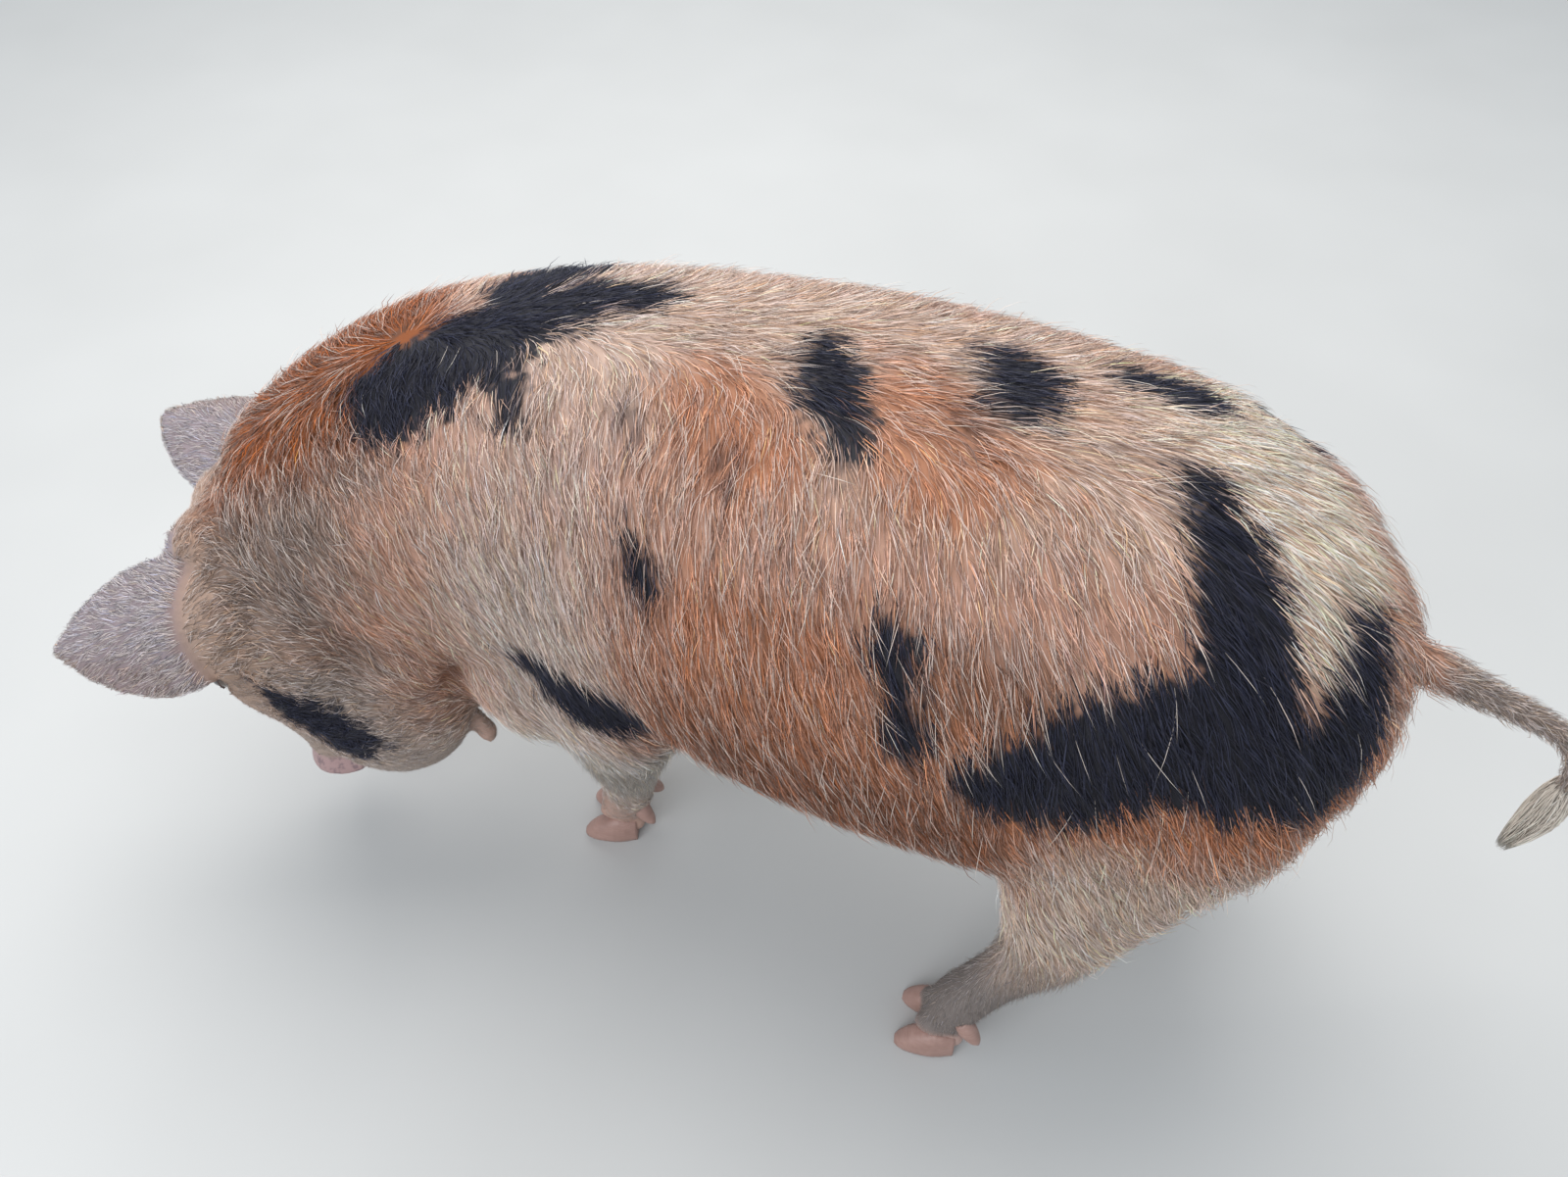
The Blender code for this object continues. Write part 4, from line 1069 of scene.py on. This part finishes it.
def skin_colour(points, normals):
    u, w, n = head_places(points)
    bare = bareness(points, normals)
    head = head_share(points)
    mottle = waves(points, 0.012, 31) * 0.5 + waves(points, 0.004, 32) * 0.4
    colour = coat_colour(points + normals * HAIR_HEIGHT) * (0.52 + 0.22 * head)[:, None]
    own = np.tile(np.array(tone(176, 146, 136)), (len(points), 1))
    own = blend(own, tone(160, 132, 130), head)
    own = blend(own, tone(112, 94, 98), head * smooth_step(mottle, 0.0, 1.0) * 0.75)
    # The lids' rims are dark skin; the same dark on the mouth's line towards its corner is painted shade in its
    # crease.
    own = blend(own, tone(84, 62, 60), head * smooth_step(u, 0.25, 0.23))
    # The nostrils are painted dark inside: painted shade in the holes.
    for side in (1, -1):
        across, out = (w - side * NOSTRIL[0]) / NOSTRIL_RADII[0], (n - NOSTRIL[1]) / NOSTRIL_RADII[1]
        own = blend(own, tone(58, 34, 34), head * smooth_step(np.hypot(across, out), 1.15, 0.75) * (u > 0.26))
    colour = blend(colour, own, bare)
    for side in (1, -1):
        share, across, over = ear_places(points, side)
        on = on_ear(points, side, 0.012)
        colour = blend(colour, MAUVE, on * 0.8 * smooth_step(share, 0.08, 0.22))
        colour = blend(colour, DARK_MAUVE, on * 0.5 * smooth_step(share, 0.20, 0.10))
        hollow = smooth_step(over, 0.0, -0.002) * smooth_step(share, 0.15, 0.35)
        colour = blend(colour, tone(178, 138, 130), on * hollow * 0.8)
    wattle = smooth_step(n, -0.160, -0.166) * smooth_step(u, 0.170, 0.185) * head
    return blend(colour, tone(172, 140, 126), wattle)


def paint_values(mesh, name, colours):
    layer = mesh.attributes.new(name, "FLOAT_COLOR", "POINT")
    values = np.ones((len(colours), 4), np.float32)
    values[:, :3] = colours
    layer.data.foreach_set("color", values.ravel())


def number_values(mesh, name, values):
    mesh.attributes.new(name, "FLOAT", "POINT").data.foreach_set("value", values.astype(np.float32))


points, normals = coordinates(skin.data), point_normals(skin.data)
paint_values(skin.data, "coat", skin_colour(points, normals))
number_values(skin.data, "bare", bareness(points, normals))
print("bare share:", round(float(bareness(points, normals).mean()), 3))

# %% The skin's finish
skin_paint = Paint("pig_skin", roughness=0.6, specular_ior_level=0.35)
fine, coarse = skin_paint.noise(900, 3), skin_paint.noise(140, 2)
shade = 0.78 + 0.44 * coarse
bare = skin_paint.attribute("bare", "Fac")
value = skin_paint.attribute("coat")
dark = skin_paint.mix(0.35, value, (0.02, 0.012, 0.01, 1))
skin_paint.set("Base Color", skin_paint.mix(shade - 0.25, dark, value))
skin_paint.set("Roughness", 0.66 - 0.24 * bare + 0.10 * (coarse - 0.5))
skin_paint.bump(fine * 0.6 + coarse * 0.4, 0.45, 0.0012)
skin.data.materials.append(skin_paint.material)
print(skin_paint.material.name, "nodes:", len(skin_paint.tree.nodes))

# %% [markdown]
# ## Growing the coat
#
# Each bristle is a thin three-sided blade. It starts a little under the skin, follows the lie of the coat in
# one to three steps, is pressed back on to the skin after every step so that it bends with the body, and
# rises slowly to a fine tip. All roots of a region are drawn at once with numpy, which is a hundred times
# quicker than a loop of Blender calls.
#
# For the export each blade also needs a place on a texture. The map OFBake lays the body out flat, as a
# furrier would: the trunk as one sheet opened along the belly, the head, each ear and each leg as sheets of
# their own. A blade's patch on it is 0.003 across and lies at its root, so that neighbours share colours.

# %% A flat layout of the pig's own shape
PATCH = 0.003
SHEETS = {  # corner and size of each sheet
    "body": (0.01, 0.01, 0.62, 0.98),
    "head": (0.65, 0.66, 0.34, 0.33),
    "legs": (0.65, 0.36, 0.34, 0.28),
    "tail": (0.65, 0.325, 0.34, 0.025),
    "ears": (0.65, 0.01, 0.34, 0.30),
}


def on_sheet(name, across, up):
    left, bottom, width, height = SHEETS[name]
    return np.stack([left + np.clip(across, 0, 1) * width, bottom + np.clip(up, 0, 1) * height], 1)


def layout(points):
    """Where each place on the skin lies on the flat sheets."""
    x, y, z = points.T
    found = regions(points)
    centre = [np.interp(x, SPINE_CURVE[:, 0], SPINE_CURVE[:, k]) for k in (1, 2)]
    turn = np.arctan2(y - centre[0], z - centre[1]) / (2 * math.pi) + 0.5
    flat = on_sheet("body", (x + 0.60) / 0.93, turn)
    u, w, n = head_places(points)
    head = on_sheet("head", (u + 0.03) / 0.33, np.arctan2(w, n + 0.05) / (2 * math.pi) + 0.5)
    leg, middle = leg_axis(points)
    round_leg = np.arctan2(*(points[:, :2] - middle).T) / (2 * math.pi) + 0.5
    legs = on_sheet("legs", (leg + 0.04 + 0.92 * round_leg) / 4, z / 0.21)
    tail = on_sheet("tail", (x - 0.32) / 0.17, np.full(len(points), 0.5))
    ears = flat.copy()
    sides = ear_side(points)
    for side in (1, -1):
        share, across, over = ear_places(points, side)
        half = 0 if side > 0 else 0.54
        place = on_sheet("ears", (across + 1.2) / 2.4 * 0.46 + half, share * 0.46 + 0.54 * (over < 0))
        ears[sides == side] = place[sides == side]
    return np.select([(found == k)[:, None] for k in range(5)], [flat, head, ears, legs, tail])


print("sheets:", ", ".join(SHEETS))

# %% Blades as one mesh
def blades(name, spines, sides, tops, widths, colours, flat):
    """Closed three-sided blades from the places along each one, root first.

    spines, sides and tops hold, for each blade, every place, its way across and its way up;
    colours hold the root's and the tip's colour, and flat the root's place on OFBake."""
    count, places, _ = spines.shape
    rings = places - 1
    share = np.arange(rings) / rings
    half = widths[:, None, None] * (0.5 * (1 - 0.45 * share**2))[None, :, None]
    corners = np.stack([
        spines[:, :rings] + sides[:, :rings] * half - tops[:, :rings] * half * 0.35,
        spines[:, :rings] - sides[:, :rings] * half - tops[:, :rings] * half * 0.35,
        spines[:, :rings] + tops[:, :rings] * half * 0.75,
    ], 2).reshape(count, rings * 3, 3)
    points = np.concatenate([corners, spines[:, -1:]], 1).reshape(-1, 3)
    faces = [(0, 2, 1)]
    for ring in range(rings - 1):
        for j in range(3):
            a, b = ring * 3 + j, ring * 3 + (j + 1) % 3
            faces += [(a, b, b + 3), (a, b + 3, a + 3)]
    last = rings * 3
    faces += [(last - 3 + j, last - 3 + (j + 1) % 3, last) for j in range(3)]
    each = rings * 3 + 1
    corner = (np.arange(count)[:, None, None] * each + np.array(faces)[None]).reshape(-1)
    mesh = bpy.data.meshes.new(name)
    mesh.vertices.add(len(points))
    mesh.vertices.foreach_set("co", points.astype(np.float32).ravel())
    mesh.loops.add(len(corner))
    mesh.loops.foreach_set("vertex_index", corner.astype(np.int32))
    mesh.polygons.add(len(corner) // 3)
    mesh.polygons.foreach_set("loop_start", np.arange(0, len(corner), 3, dtype=np.int32))
    mesh.polygons.foreach_set("use_smooth", np.ones(len(corner) // 3, bool))
    mesh.update(calc_edges=True)
    along = np.append(np.repeat(share, 3), 1.0)
    shades = colours[0][:, None] + (colours[1] - colours[0])[:, None] * along[None, :, None]
    paint_values(mesh, "coat", shades.reshape(-1, 3))
    shift = np.stack([np.append(np.tile([-0.5, 0.5, 0.0], rings), 0.0), along - 0.5], 1) * PATCH
    places = (flat[:, None] + shift[None]).reshape(-1, 2)
    layer = mesh.uv_layers.new(name="OFBake")
    layer.uv.foreach_set("vector", places[corner].astype(np.float32).ravel())
    return add_object(name, mesh)


print("triangles of a blade of one, two or three steps:", [6 * steps - 2 for steps in (1, 2, 3)])

# %% Roots, and blades that follow the skin
SEED = 5
rng = np.random.default_rng(SEED)
mesh = skin.data
mesh.calc_loop_triangles()
triangles = np.empty(len(mesh.loop_triangles) * 3, np.int32)
mesh.loop_triangles.foreach_get("vertices", triangles)
triangles = triangles.reshape(-1, 3)
tree = BVHTree.FromPolygons(points.tolist(), triangles.tolist())
corner_points = points[triangles]
middles = corner_points.mean(1)
facing = np.cross(corner_points[:, 1] - corner_points[:, 0], corner_points[:, 2] - corner_points[:, 0])
areas = np.linalg.norm(facing, axis=1) / 2
facing = unit(facing)
hairy = np.clip(1 - bareness(middles, facing), 0, 1)
triangle_region = regions(middles)
print("skin area, square metres:", round(float(areas.sum()), 3))


def sow(count, region, wanted):
    """This many roots over a region, denser where more are wanted, and the skin's normals there."""
    weight = areas * hairy * (triangle_region == region) * wanted
    chosen = rng.choice(len(areas), count, p=weight / weight.sum())
    a, b = rng.random((2, count))
    a, b = np.where(a + b > 1, 1 - a, a), np.where(a + b > 1, 1 - b, b)
    first, second, third = corner_points[chosen].transpose(1, 0, 2)
    place = first + (second - first) * a[:, None] + (third - first) * b[:, None]
    normal = normals[triangles[chosen]].mean(1)
    return place, unit(normal)


def press(places):
    """The nearest places on the skin, and its normals there."""
    feet, ways = np.empty_like(places), np.empty_like(places)
    for i, place in enumerate(places):
        foot, normal, _, _ = tree.find_nearest(place)
        feet[i], ways[i] = foot, normal
    return feet, ways


def turned(ways, normals, angles):
    across = np.cross(normals, ways)
    return ways * np.cos(angles)[:, None] + across * np.sin(angles)[:, None]


ROOT_DEPTH = 0.0010
RISE = {1: (0, 1), 2: (0, 0.66, 1), 3: (0, 0.52, 0.86, 1)}  # share of the tip's height after each step


def grow(name, roots, normals, lengths, widths, lifts, stray, colours, steps):
    """Blades over the skin. stray is the angle by which each leaves the lie of the coat."""
    feet, ways = roots, normals
    spines, sides, tops = [], [], []
    for step in range(steps + 1):
        run = turned(lie(feet, ways), ways, stray)
        rise = lifts * RISE[steps][step] - (ROOT_DEPTH if step == 0 else 0)
        spines.append(feet + ways * rise[:, None])
        sides.append(np.cross(ways, run))
        tops.append(ways)
        if step < steps:
            feet, ways = press(feet + run * (lengths / steps)[:, None])
    shape = (np.stack(value, 1) for value in (spines, sides, tops))
    return blades(name, *shape, widths, colours, layout(roots))


# %% [markdown]
# ## Length, lift and tint of each bristle
#
# In the photo the hairs are three to four centimetres long on the trunk, shorter on the neck, fuzzy on the
# jowl and the ears, and about a centimetre on the face and the feet. Most are tan at the root and paler at
# the tip. One in eighteen is a long pale guard hair that stands out from the rest, though seldom in a black
# patch. Guard hairs are a piece of their own, so that their colour isn't lost among the others when the
# textures are baked.

# %% How hair differs over the body
def hair_length(points, normals):
    x, y, z = points.T
    u, w, n = head_places(points)
    head = head_share(points)
    length = 0.033 + 0.006 * smooth_step(x, 0.05, 0.25) - 0.012 * smooth_step(x, -0.26, -0.40)
    length += 0.008 * near_chain(points, NAPE, 0.05) + 0.006 * near_chain(points, FAR_NAPE, 0.05)
    length -= 0.008 * smooth_step(normals[:, 2], -0.3, -0.8)
    length = length + (0.018 - length) * head
    length = length + (0.0095 - length) * head * smooth_step(n, -0.05, 0.0)
    length = length + (0.0080 - length) * head * smooth_step(u, 0.14, 0.22)
    for side in (1, -1):
        length = length + (0.0150 - length) * on_ear(points, side, 0.030)
    leg = smooth_step(z, 0.24, 0.05) * (1 - head)
    return length + (0.0105 - length) * leg


def rump_light(points):
    """1 in the pale bands of the rump."""
    return np.max([near_chain(points, chain, 0.024) for chain in RUMP_BANDS], axis=0)


SEEN_SHARE = 0.8  # the place on a hair that shows most, as a share of its length


def tints(roots, normals, length, pale, spread):
    """Root and tip colours, each bristle a little different from its neighbour.

    A patch shows where its hairs lie, not where they grow, so each asks for a place further on."""
    count = len(roots)
    seen = roots + lie(roots, normals) * (SEEN_SHARE * length)[:, None] + normals * HAIR_HEIGHT
    seen = seen + rng.normal(0, 0.0025, (count, 3))
    base = coat_colour(seen)
    dark = blackness(seen)[:, None]
    bright = np.exp(rng.normal(0, spread, count))[:, None]
    warm = 1 + rng.normal(0, 0.10, (count, 1)) * np.array([0.6, 0.0, -1.2])
    root = base * bright * warm * (0.82 + 0.40 * rump_light(seen))[:, None]
    light = np.array(tone(246, 234, 228))
    share = pale * rng.uniform(0.0, 1.0, count) + 0.66 * (rng.random(count) < 0.18)
    share = share * (0.45 + 0.55 * smooth_step(base[:, 2] / base[:, 0], 0.02, 0.36))
    share = np.minimum(share + 0.12 * rump_light(seen), 0.95)
    tip = root + (light - root) * (1 - dark) * share[:, None]
    root = root + (light * 0.8 - root) * (1 - dark) * (share * 0.30)[:, None]
    # In black patches a random blue grey is added to the tips: a painted sheen.
    tip = tip + dark * np.array(tone(66, 70, 92)) * rng.uniform(0, 1, (count, 1))
    return np.clip(root, 0.004, 0.92), np.clip(tip, 0.004, 0.95)


LOCKS = (0.030, 41)  # size of the places where hairs lean alike, and their seed
BODY_HAIRS = 86000
BODY_WIDTH, WIDTH_LENGTH = 0.00071, 0.035  # the width of a hair of this length, and longer ones are wider
GUARD_HAIRS, GUARD_WIDTH, GUARD_STEPS = 6000, 0.00045, 3
EAR_AND_TAIL_LENGTH = 0.016
BODY_PIECES = ["coat_neck", "coat_shoulder", "coat_ribs", "coat_waist", "coat_loin", "coat_haunch"]
BLADE_STEPS = 2
coats = []


def finish_coat(piece, slot):
    piece.data.materials.append(hair_paint.material)
    coats.append((piece, slot))


hair_paint = Paint("bristles", roughness=0.42, specular_ior_level=0.32)
streak = hair_paint.noise(220, 2)
value = hair_paint.attribute("coat")
dark = hair_paint.mix(0.5, value, (0.03, 0.02, 0.02, 1))
hair_paint.set("Base Color", hair_paint.mix(0.55 * streak, value, dark))
hair_paint.set("Roughness", 0.40 + 0.24 * streak)
print("bristle paint made")

# %% The trunk's coat
dense = 0.40 + 0.60 * smooth_step(facing[:, 2], -0.9, -0.3) + 0.45 * smooth_step(middles[:, 0], -0.30, -0.40)
roots, ways = sow(BODY_HAIRS, BODY, dense)
order = np.argsort(roots[:, 0], kind="stable")
roots, ways = roots[order], ways[order]
loose = 0.13 + 0.19 * smooth_step(roots[:, 0], -0.25, -0.42)
lean = 0.14 * waves(roots, *LOCKS) + 0.12 * waves(roots, 0.011, 42) + rng.normal(0, 1, len(roots)) * loose
length = hair_length(roots, ways) * rng.uniform(0.7, 1.15, len(roots))
lift = length * 0.13 * np.exp(rng.normal(0, 0.35, len(roots)))
width = BODY_WIDTH * np.sqrt(length / WIDTH_LENGTH) * rng.uniform(0.75, 1.2, len(roots))
shades = tints(roots, ways, length, 0.40, 0.36 + 0.12 * smooth_step(roots[:, 0], -0.25, -0.42))
for name, chosen in zip(BODY_PIECES, np.array_split(np.arange(len(roots)), len(BODY_PIECES))):
    piece = grow(name, roots[chosen], ways[chosen], length[chosen], width[chosen], lift[chosen], lean[chosen],
                 [shade[chosen] for shade in shades], BLADE_STEPS)
    finish_coat(piece, "nape_coat" if name == "coat_neck" else "body_coat")
    print(name, len(piece.data.polygons), "triangles")

# %% Guard hairs
roots, ways = sow(GUARD_HAIRS, BODY, 0.3 + 0.7 * smooth_step(facing[:, 2], -0.5, 0.2))
lean = 0.13 * waves(roots, *LOCKS) + rng.normal(0, 0.26, len(roots))
length = hair_length(roots, ways) * rng.uniform(0.95, 1.3, len(roots))
lift = length * 0.18 * np.exp(rng.normal(0, 0.3, len(roots)))
middle = roots + lie(roots, ways) * (0.5 * length)[:, None]
keep = rng.random(len(roots)) > 0.93 * np.maximum(blackness(roots), blackness(middle))
roots, ways, lean, length, lift = (value[keep] for value in (roots, ways, lean, length, lift))
pale = np.array(tone(244, 228, 216)) * np.exp(rng.normal(0, 0.12, len(roots)))[:, None]
root_shade = 0.45 * pale + 0.45 * coat_colour(roots)
width = np.full(len(roots), GUARD_WIDTH)
shades = [root_shade, np.clip(pale, 0, 0.95)]
piece = grow("coat_guard_hairs", roots, ways, length, width, lift, lean, shades, GUARD_STEPS)
finish_coat(piece, "body_coat")
print(piece.name, len(piece.data.polygons), "triangles")

# %% Head, ears, legs and tail
SHORT_WIDTH, SHORT_LENGTH, THINNEST = 0.0008, 0.030, 0.00046


def short_coat(name, slot, region, count, wanted, shape, strays, pale, spread=0.40, steps=BLADE_STEPS):
    """Short hairs as one piece. strays holds their lift, how far they lean together and how far alone."""
    roots, ways = sow(count, region, wanted)
    length = shape(roots, ways) * rng.uniform(0.7, 1.2, count)
    lift = length * strays[0] * np.exp(rng.normal(0, 0.3, count))
    lean = strays[1] * waves(roots, 0.018, 43) + rng.normal(0, strays[2], count)
    width = np.clip(SHORT_WIDTH * np.sqrt(length / SHORT_LENGTH), THINNEST, SHORT_WIDTH)
    shades = tints(roots, ways, length, pale, spread)
    piece = grow(name, roots, ways, length, width, lift, lean, shades, steps)
    finish_coat(piece, slot)
    print(name, len(piece.data.polygons), "triangles")


def even_length(points, normals):
    return np.full(len(points), EAR_AND_TAIL_LENGTH)


fuzzy = smooth_step(hair_length(middles, facing), 0.0096, 0.0125)
sparse = 0.02  # so that a few hairs of each kind stand among the other kind
short_coat("coat_cheeks", "head_coat", HEAD, 14500, sparse + fuzzy, hair_length, (0.17, 0.30, 0.30), 0.42)
strays = (0.15, 0.25, 0.30)
short_coat("coat_face", "head_coat", HEAD, 45000, 1 + sparse - fuzzy, hair_length, strays, 0.80, 0.28, 1)
short_coat("coat_legs", "leg_coat", LEG_REGION, 22000, 1, hair_length, (0.17, 0.16, 0.22), 0.60, 0.40, 1)
short_coat("coat_tail", "tail_coat", TAIL_REGION, 1500, 1, even_length, (0.22, 0.10, 0.20), 0.45)
thick = np.zeros(len(middles))
for side in (1, -1):
    thick += smooth_step(ear_places(middles, side)[0], 0.40, 0.15) * (ear_side(middles) == side)
short_coat("coat_ears", "ear_coat", EARS, 9000, 1 + thick, even_length, (0.14, 0.14, 0.17), 0.85)

# %% [markdown]
# ## The switch of the tail
#
# The tail ends in a brush of cream hair, far longer than the coat. These hairs don't follow the skin: they
# leave the tail's last few centimetres, bow outwards and come together again in a point.

# %% Switch hairs
SWITCH = [
    (0.463, 0.043, 0.336, 0.0070),
    (0.465, 0.045, 0.314, 0.0125),
    (0.465, 0.046, 0.290, 0.0140),
    (0.462, 0.047, 0.262, 0.0105),
    (0.458, 0.048, 0.234, 0.0045),
]
SWITCH_HAIRS = 900
SWITCH_WIDTH = 0.0010
SWITCH_STEPS = 4


def make_switch():
    count = SWITCH_HAIRS
    rows = np.array(SWITCH)
    begin = rng.uniform(-0.10, 0.35, count)
    end = np.minimum(begin + rng.uniform(0.45, 0.95, count), 1.0)
    angle = rng.uniform(0, 2 * math.pi, count)
    turn = rng.normal(0, 0.5, count)
    reach = np.sqrt(rng.uniform(0.1, 1.0, count))
    spines, sides, tops = [], [], []
    for step in range(SWITCH_STEPS + 1):
        share = begin + (end - begin) * step / SWITCH_STEPS
        place = np.stack([np.interp(share, np.linspace(0, 1, len(rows)), rows[:, k]) for k in range(4)], 1)
        place[:, 2] += np.minimum(share, 0) * 0.10
        way = angle + turn * step / SWITCH_STEPS
        out = np.stack([np.cos(way), np.sin(way), np.zeros(count)], 1)
        spines.append(place[:, :3] + out * (place[:, 3] * (0.55 if step == 0 else 1.0) * reach)[:, None])
        sides.append(np.stack([-out[:, 1], out[:, 0], out[:, 2]], 1))
        tops.append(out)
    pale = np.array(CREAM) * np.exp(rng.normal(0, 0.16, count))[:, None]
    flat = on_sheet("tail", 0.9 + 0 * begin, angle / (2 * math.pi))
    shape = (np.stack(value, 1) for value in (spines, sides, tops))
    shades = [0.75 * pale, np.clip(1.15 * pale, 0, 0.95)]
    return blades("switch_hairs", *shape, np.full(count, SWITCH_WIDTH), shades, flat)


switch = make_switch()
finish_coat(switch, "switch_hair")
print("switch:", len(switch.data.polygons), "triangles")

# %% [markdown]
# ## Eyes
#
# A pig's eye is small and deep set. The ball is one turned form, its front drawn out into the bulge of the
# cornea, and the iris and the pupil are painted by the distance from the middle of the look. A coat of gloss
# over it makes the wet highlight.

# %% Eyeballs
def make_eye(side):
    middle, slit, across, look = eye_frame(side)
    bm = bmesh.new()
    bmesh.ops.create_uvsphere(bm, u_segments=48, v_segments=32, radius=1)
    for vert in bm.verts:
        bulge = 0.10 * max(0.0, 1 - (math.hypot(vert.co.x, vert.co.y) / 0.62) ** 2) if vert.co.z > 0 else 0
        vert.co *= EYE_RADIUS * (1 + bulge)
    turn = Matrix((slit, across, look)).transposed().to_4x4()
    bmesh.ops.transform(bm, matrix=Matrix.Translation(middle) @ turn, verts=bm.verts)
    name = "eyeball_left" if side > 0 else "eyeball_right"
    ball = mesh_object(name, bm)
    x, y, z = eye_places(coordinates(ball.data), side)
    number_values(ball.data, "from_look", np.where(z > 0, np.hypot(x, y), EYE_RADIUS) / EYE_RADIUS)
    shade_smooth(ball)
    return ball


eye_paint = Paint("wet_eye", roughness=0.12, coat_weight=1.0, coat_roughness=0.03)
place = eye_paint.attribute("from_look", "Fac")
streak = eye_paint.noise(900, 3)
stops = [(0.0, (0.002, 0.002, 0.003)), (0.34, (0.003, 0.003, 0.004)), (0.41, (0.040, 0.018, 0.009)),
         (0.66, (0.058, 0.028, 0.013)), (0.76, (0.008, 0.005, 0.004)), (0.92, (0.130, 0.085, 0.070))]
rings = eye_paint.node("ShaderNodeValToRGB", {"stops": stops}, {"Fac": place + 0.06 * (streak - 0.5)})
eye_paint.set("Base Color", rings)
eyes = [make_eye(side) for side in (1, -1)]
for ball in eyes:
    ball.data.materials.append(eye_paint.material)
print("eyes:", len(eyes))

# %% [markdown]
# ## Claws
#
# A pig stands on two claws of horn on each foot, and two smaller ones hang behind. Horn grows down from the
# skin in rings, so the claws have faint ridges across them, and on this pig the horn is pale and pinkish.

# %% Claws and dewclaws
CLAW_LENGTH, CLAW_WIDTH, CLAW_HEIGHT = 0.052, 0.0125, 0.030
CLAW_SPREAD = math.radians(7)
CLAW_APART = 0.002
HEEL = 0.016
CLAW_SECTIONS = [(0, 0.75, 0.85), (0.35, 1.06, 1.0), (0.7, 0.94, 0.72), (0.9, 0.66, 0.42), (1, 0.3, 0.2)]
DEWCLAW = ((0.018, 0.013, 0.054), (0.036, 0.020, 0.032))
DEWCLAW_RADII = (0.0075, 0.0085, 0.0055, 0.0015)


def outer_or_inner(leg, side):
    return "outer" if (side > 0) == leg.endswith("left") else "inner"


def claw_ring(centre, beside, width, height):
    """A flat sole, and a wall that leans in to a round top."""
    ring = [centre + beside * (width * share) for share in (-0.90, -0.45, 0, 0.45, 0.90)]
    for i in range(1, 24):
        angle = math.pi * i / 24
        c, s = math.cos(angle), math.sin(angle)
        reach = (abs(c) ** 2.8 + s**2.8) ** (-1 / 2.8)
        ring.append(centre + beside * (width * c * reach) + Vector((0, 0, height * s * reach)))
    return ring


def make_claw(leg, side):
    foot, toes, across = foot_frame(leg)
    turned = (toes + across * side * math.tan(CLAW_SPREAD)).normalized()
    beside = Vector((-turned.y, turned.x, 0))
    heel = foot - toes * HEEL + across * side * (CLAW_WIDTH + CLAW_APART)
    rings = []
    for i, (share, width, height) in enumerate(through(CLAW_SECTIONS, 10)):
        ridge = 1 + 0.012 * math.sin(i * 2.2) * (0.2 < share < 0.95)
        centre = heel + turned * (CLAW_LENGTH * share)
        half_width = CLAW_WIDTH * width * 0.985 * ridge
        rings.append(claw_ring(centre, beside, half_width, CLAW_HEIGHT * height * ridge))
    return loft("claw", rings)


def make_dewclaw(leg, side):
    foot, toes, across = foot_frame(leg)
    root, tip = (foot - toes * back + across * side * out + Vector((0, 0, up)) for back, out, up in DEWCLAW)
    rows = [(*root.lerp(tip, share), radius) for share, radius in zip((0, 0.35, 0.8, 1), DEWCLAW_RADII)]
    rows = through(rows, 5)
    return pipe("dewclaw", [Vector(row[:3]) for row in rows], [row[3] for row in rows], 20)


horn_paint = Paint("horn", roughness=0.45, specular_ior_level=0.45)
rings = horn_paint.noise(160, 3, (1, 1, 5))
grime = horn_paint.noise(60, 2)
horn = horn_paint.mix(rings, (*tone(146, 112, 102), 1), (*tone(176, 144, 134), 1))
horn_paint.set("Base Color", horn_paint.mix(0.75 * grime - 0.1, horn, (*tone(112, 88, 78), 1)))
horn_paint.set("Roughness", 0.38 + 0.2 * grime)
horn_paint.bump(rings, 0.35, 0.0008)
claws = {}
for leg in LEGS:
    pieces = [make(leg, side) for side in (1, -1) for make in (make_claw, make_dewclaw)]
    claws[leg] = joined(f"claws_{leg}", pieces)
    shade_smooth(claws[leg])
    claws[leg].data.materials.append(horn_paint.material)
    print(claws[leg].name, len(claws[leg].data.polygons), "faces")

# %% [markdown]
# ## Into the shared frame
#
# Everything so far stands in the pig's own frame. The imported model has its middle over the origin, so each
# piece is shifted by the same vector. Then each piece rides on the one body and takes the place of its
# solids.

# %% Shift, ride, replace
SIDES = ("left", "right")
FLESH = ["torso", "neck", "head", "snout", "tail"]
FLESH += [f"{kind}_{side}" for kind in ("ear", "wattle") for side in SIDES] + [f"leg_{leg}" for leg in LEGS]
stands_for = {skin: (FLESH, "body_coat"), switch: (["tail_switch"], "switch_hair")}
for ball, side in zip(eyes, SIDES):
    stands_for[ball] = ([f"eye_{side}"], "eye")
for leg, piece in claws.items():
    nodes = [f"{kind}_{leg}_{outer_or_inner(leg, side)}" for kind in ("claw", "dewclaw") for side in (1, -1)]
    stands_for[piece] = (nodes, "claw_horn")
for piece, slot in coats:
    stands_for.setdefault(piece, ([], slot))
for piece, (nodes, slot) in stands_for.items():
    piece.data.transform(Matrix.Translation(-MIDDLE))
    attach(piece, "root")
    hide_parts(*nodes)
total = sum(len(piece.data.polygons) for piece in stands_for)
print("pieces:", len(stands_for), "faces:", total)

# %% Import json
import json
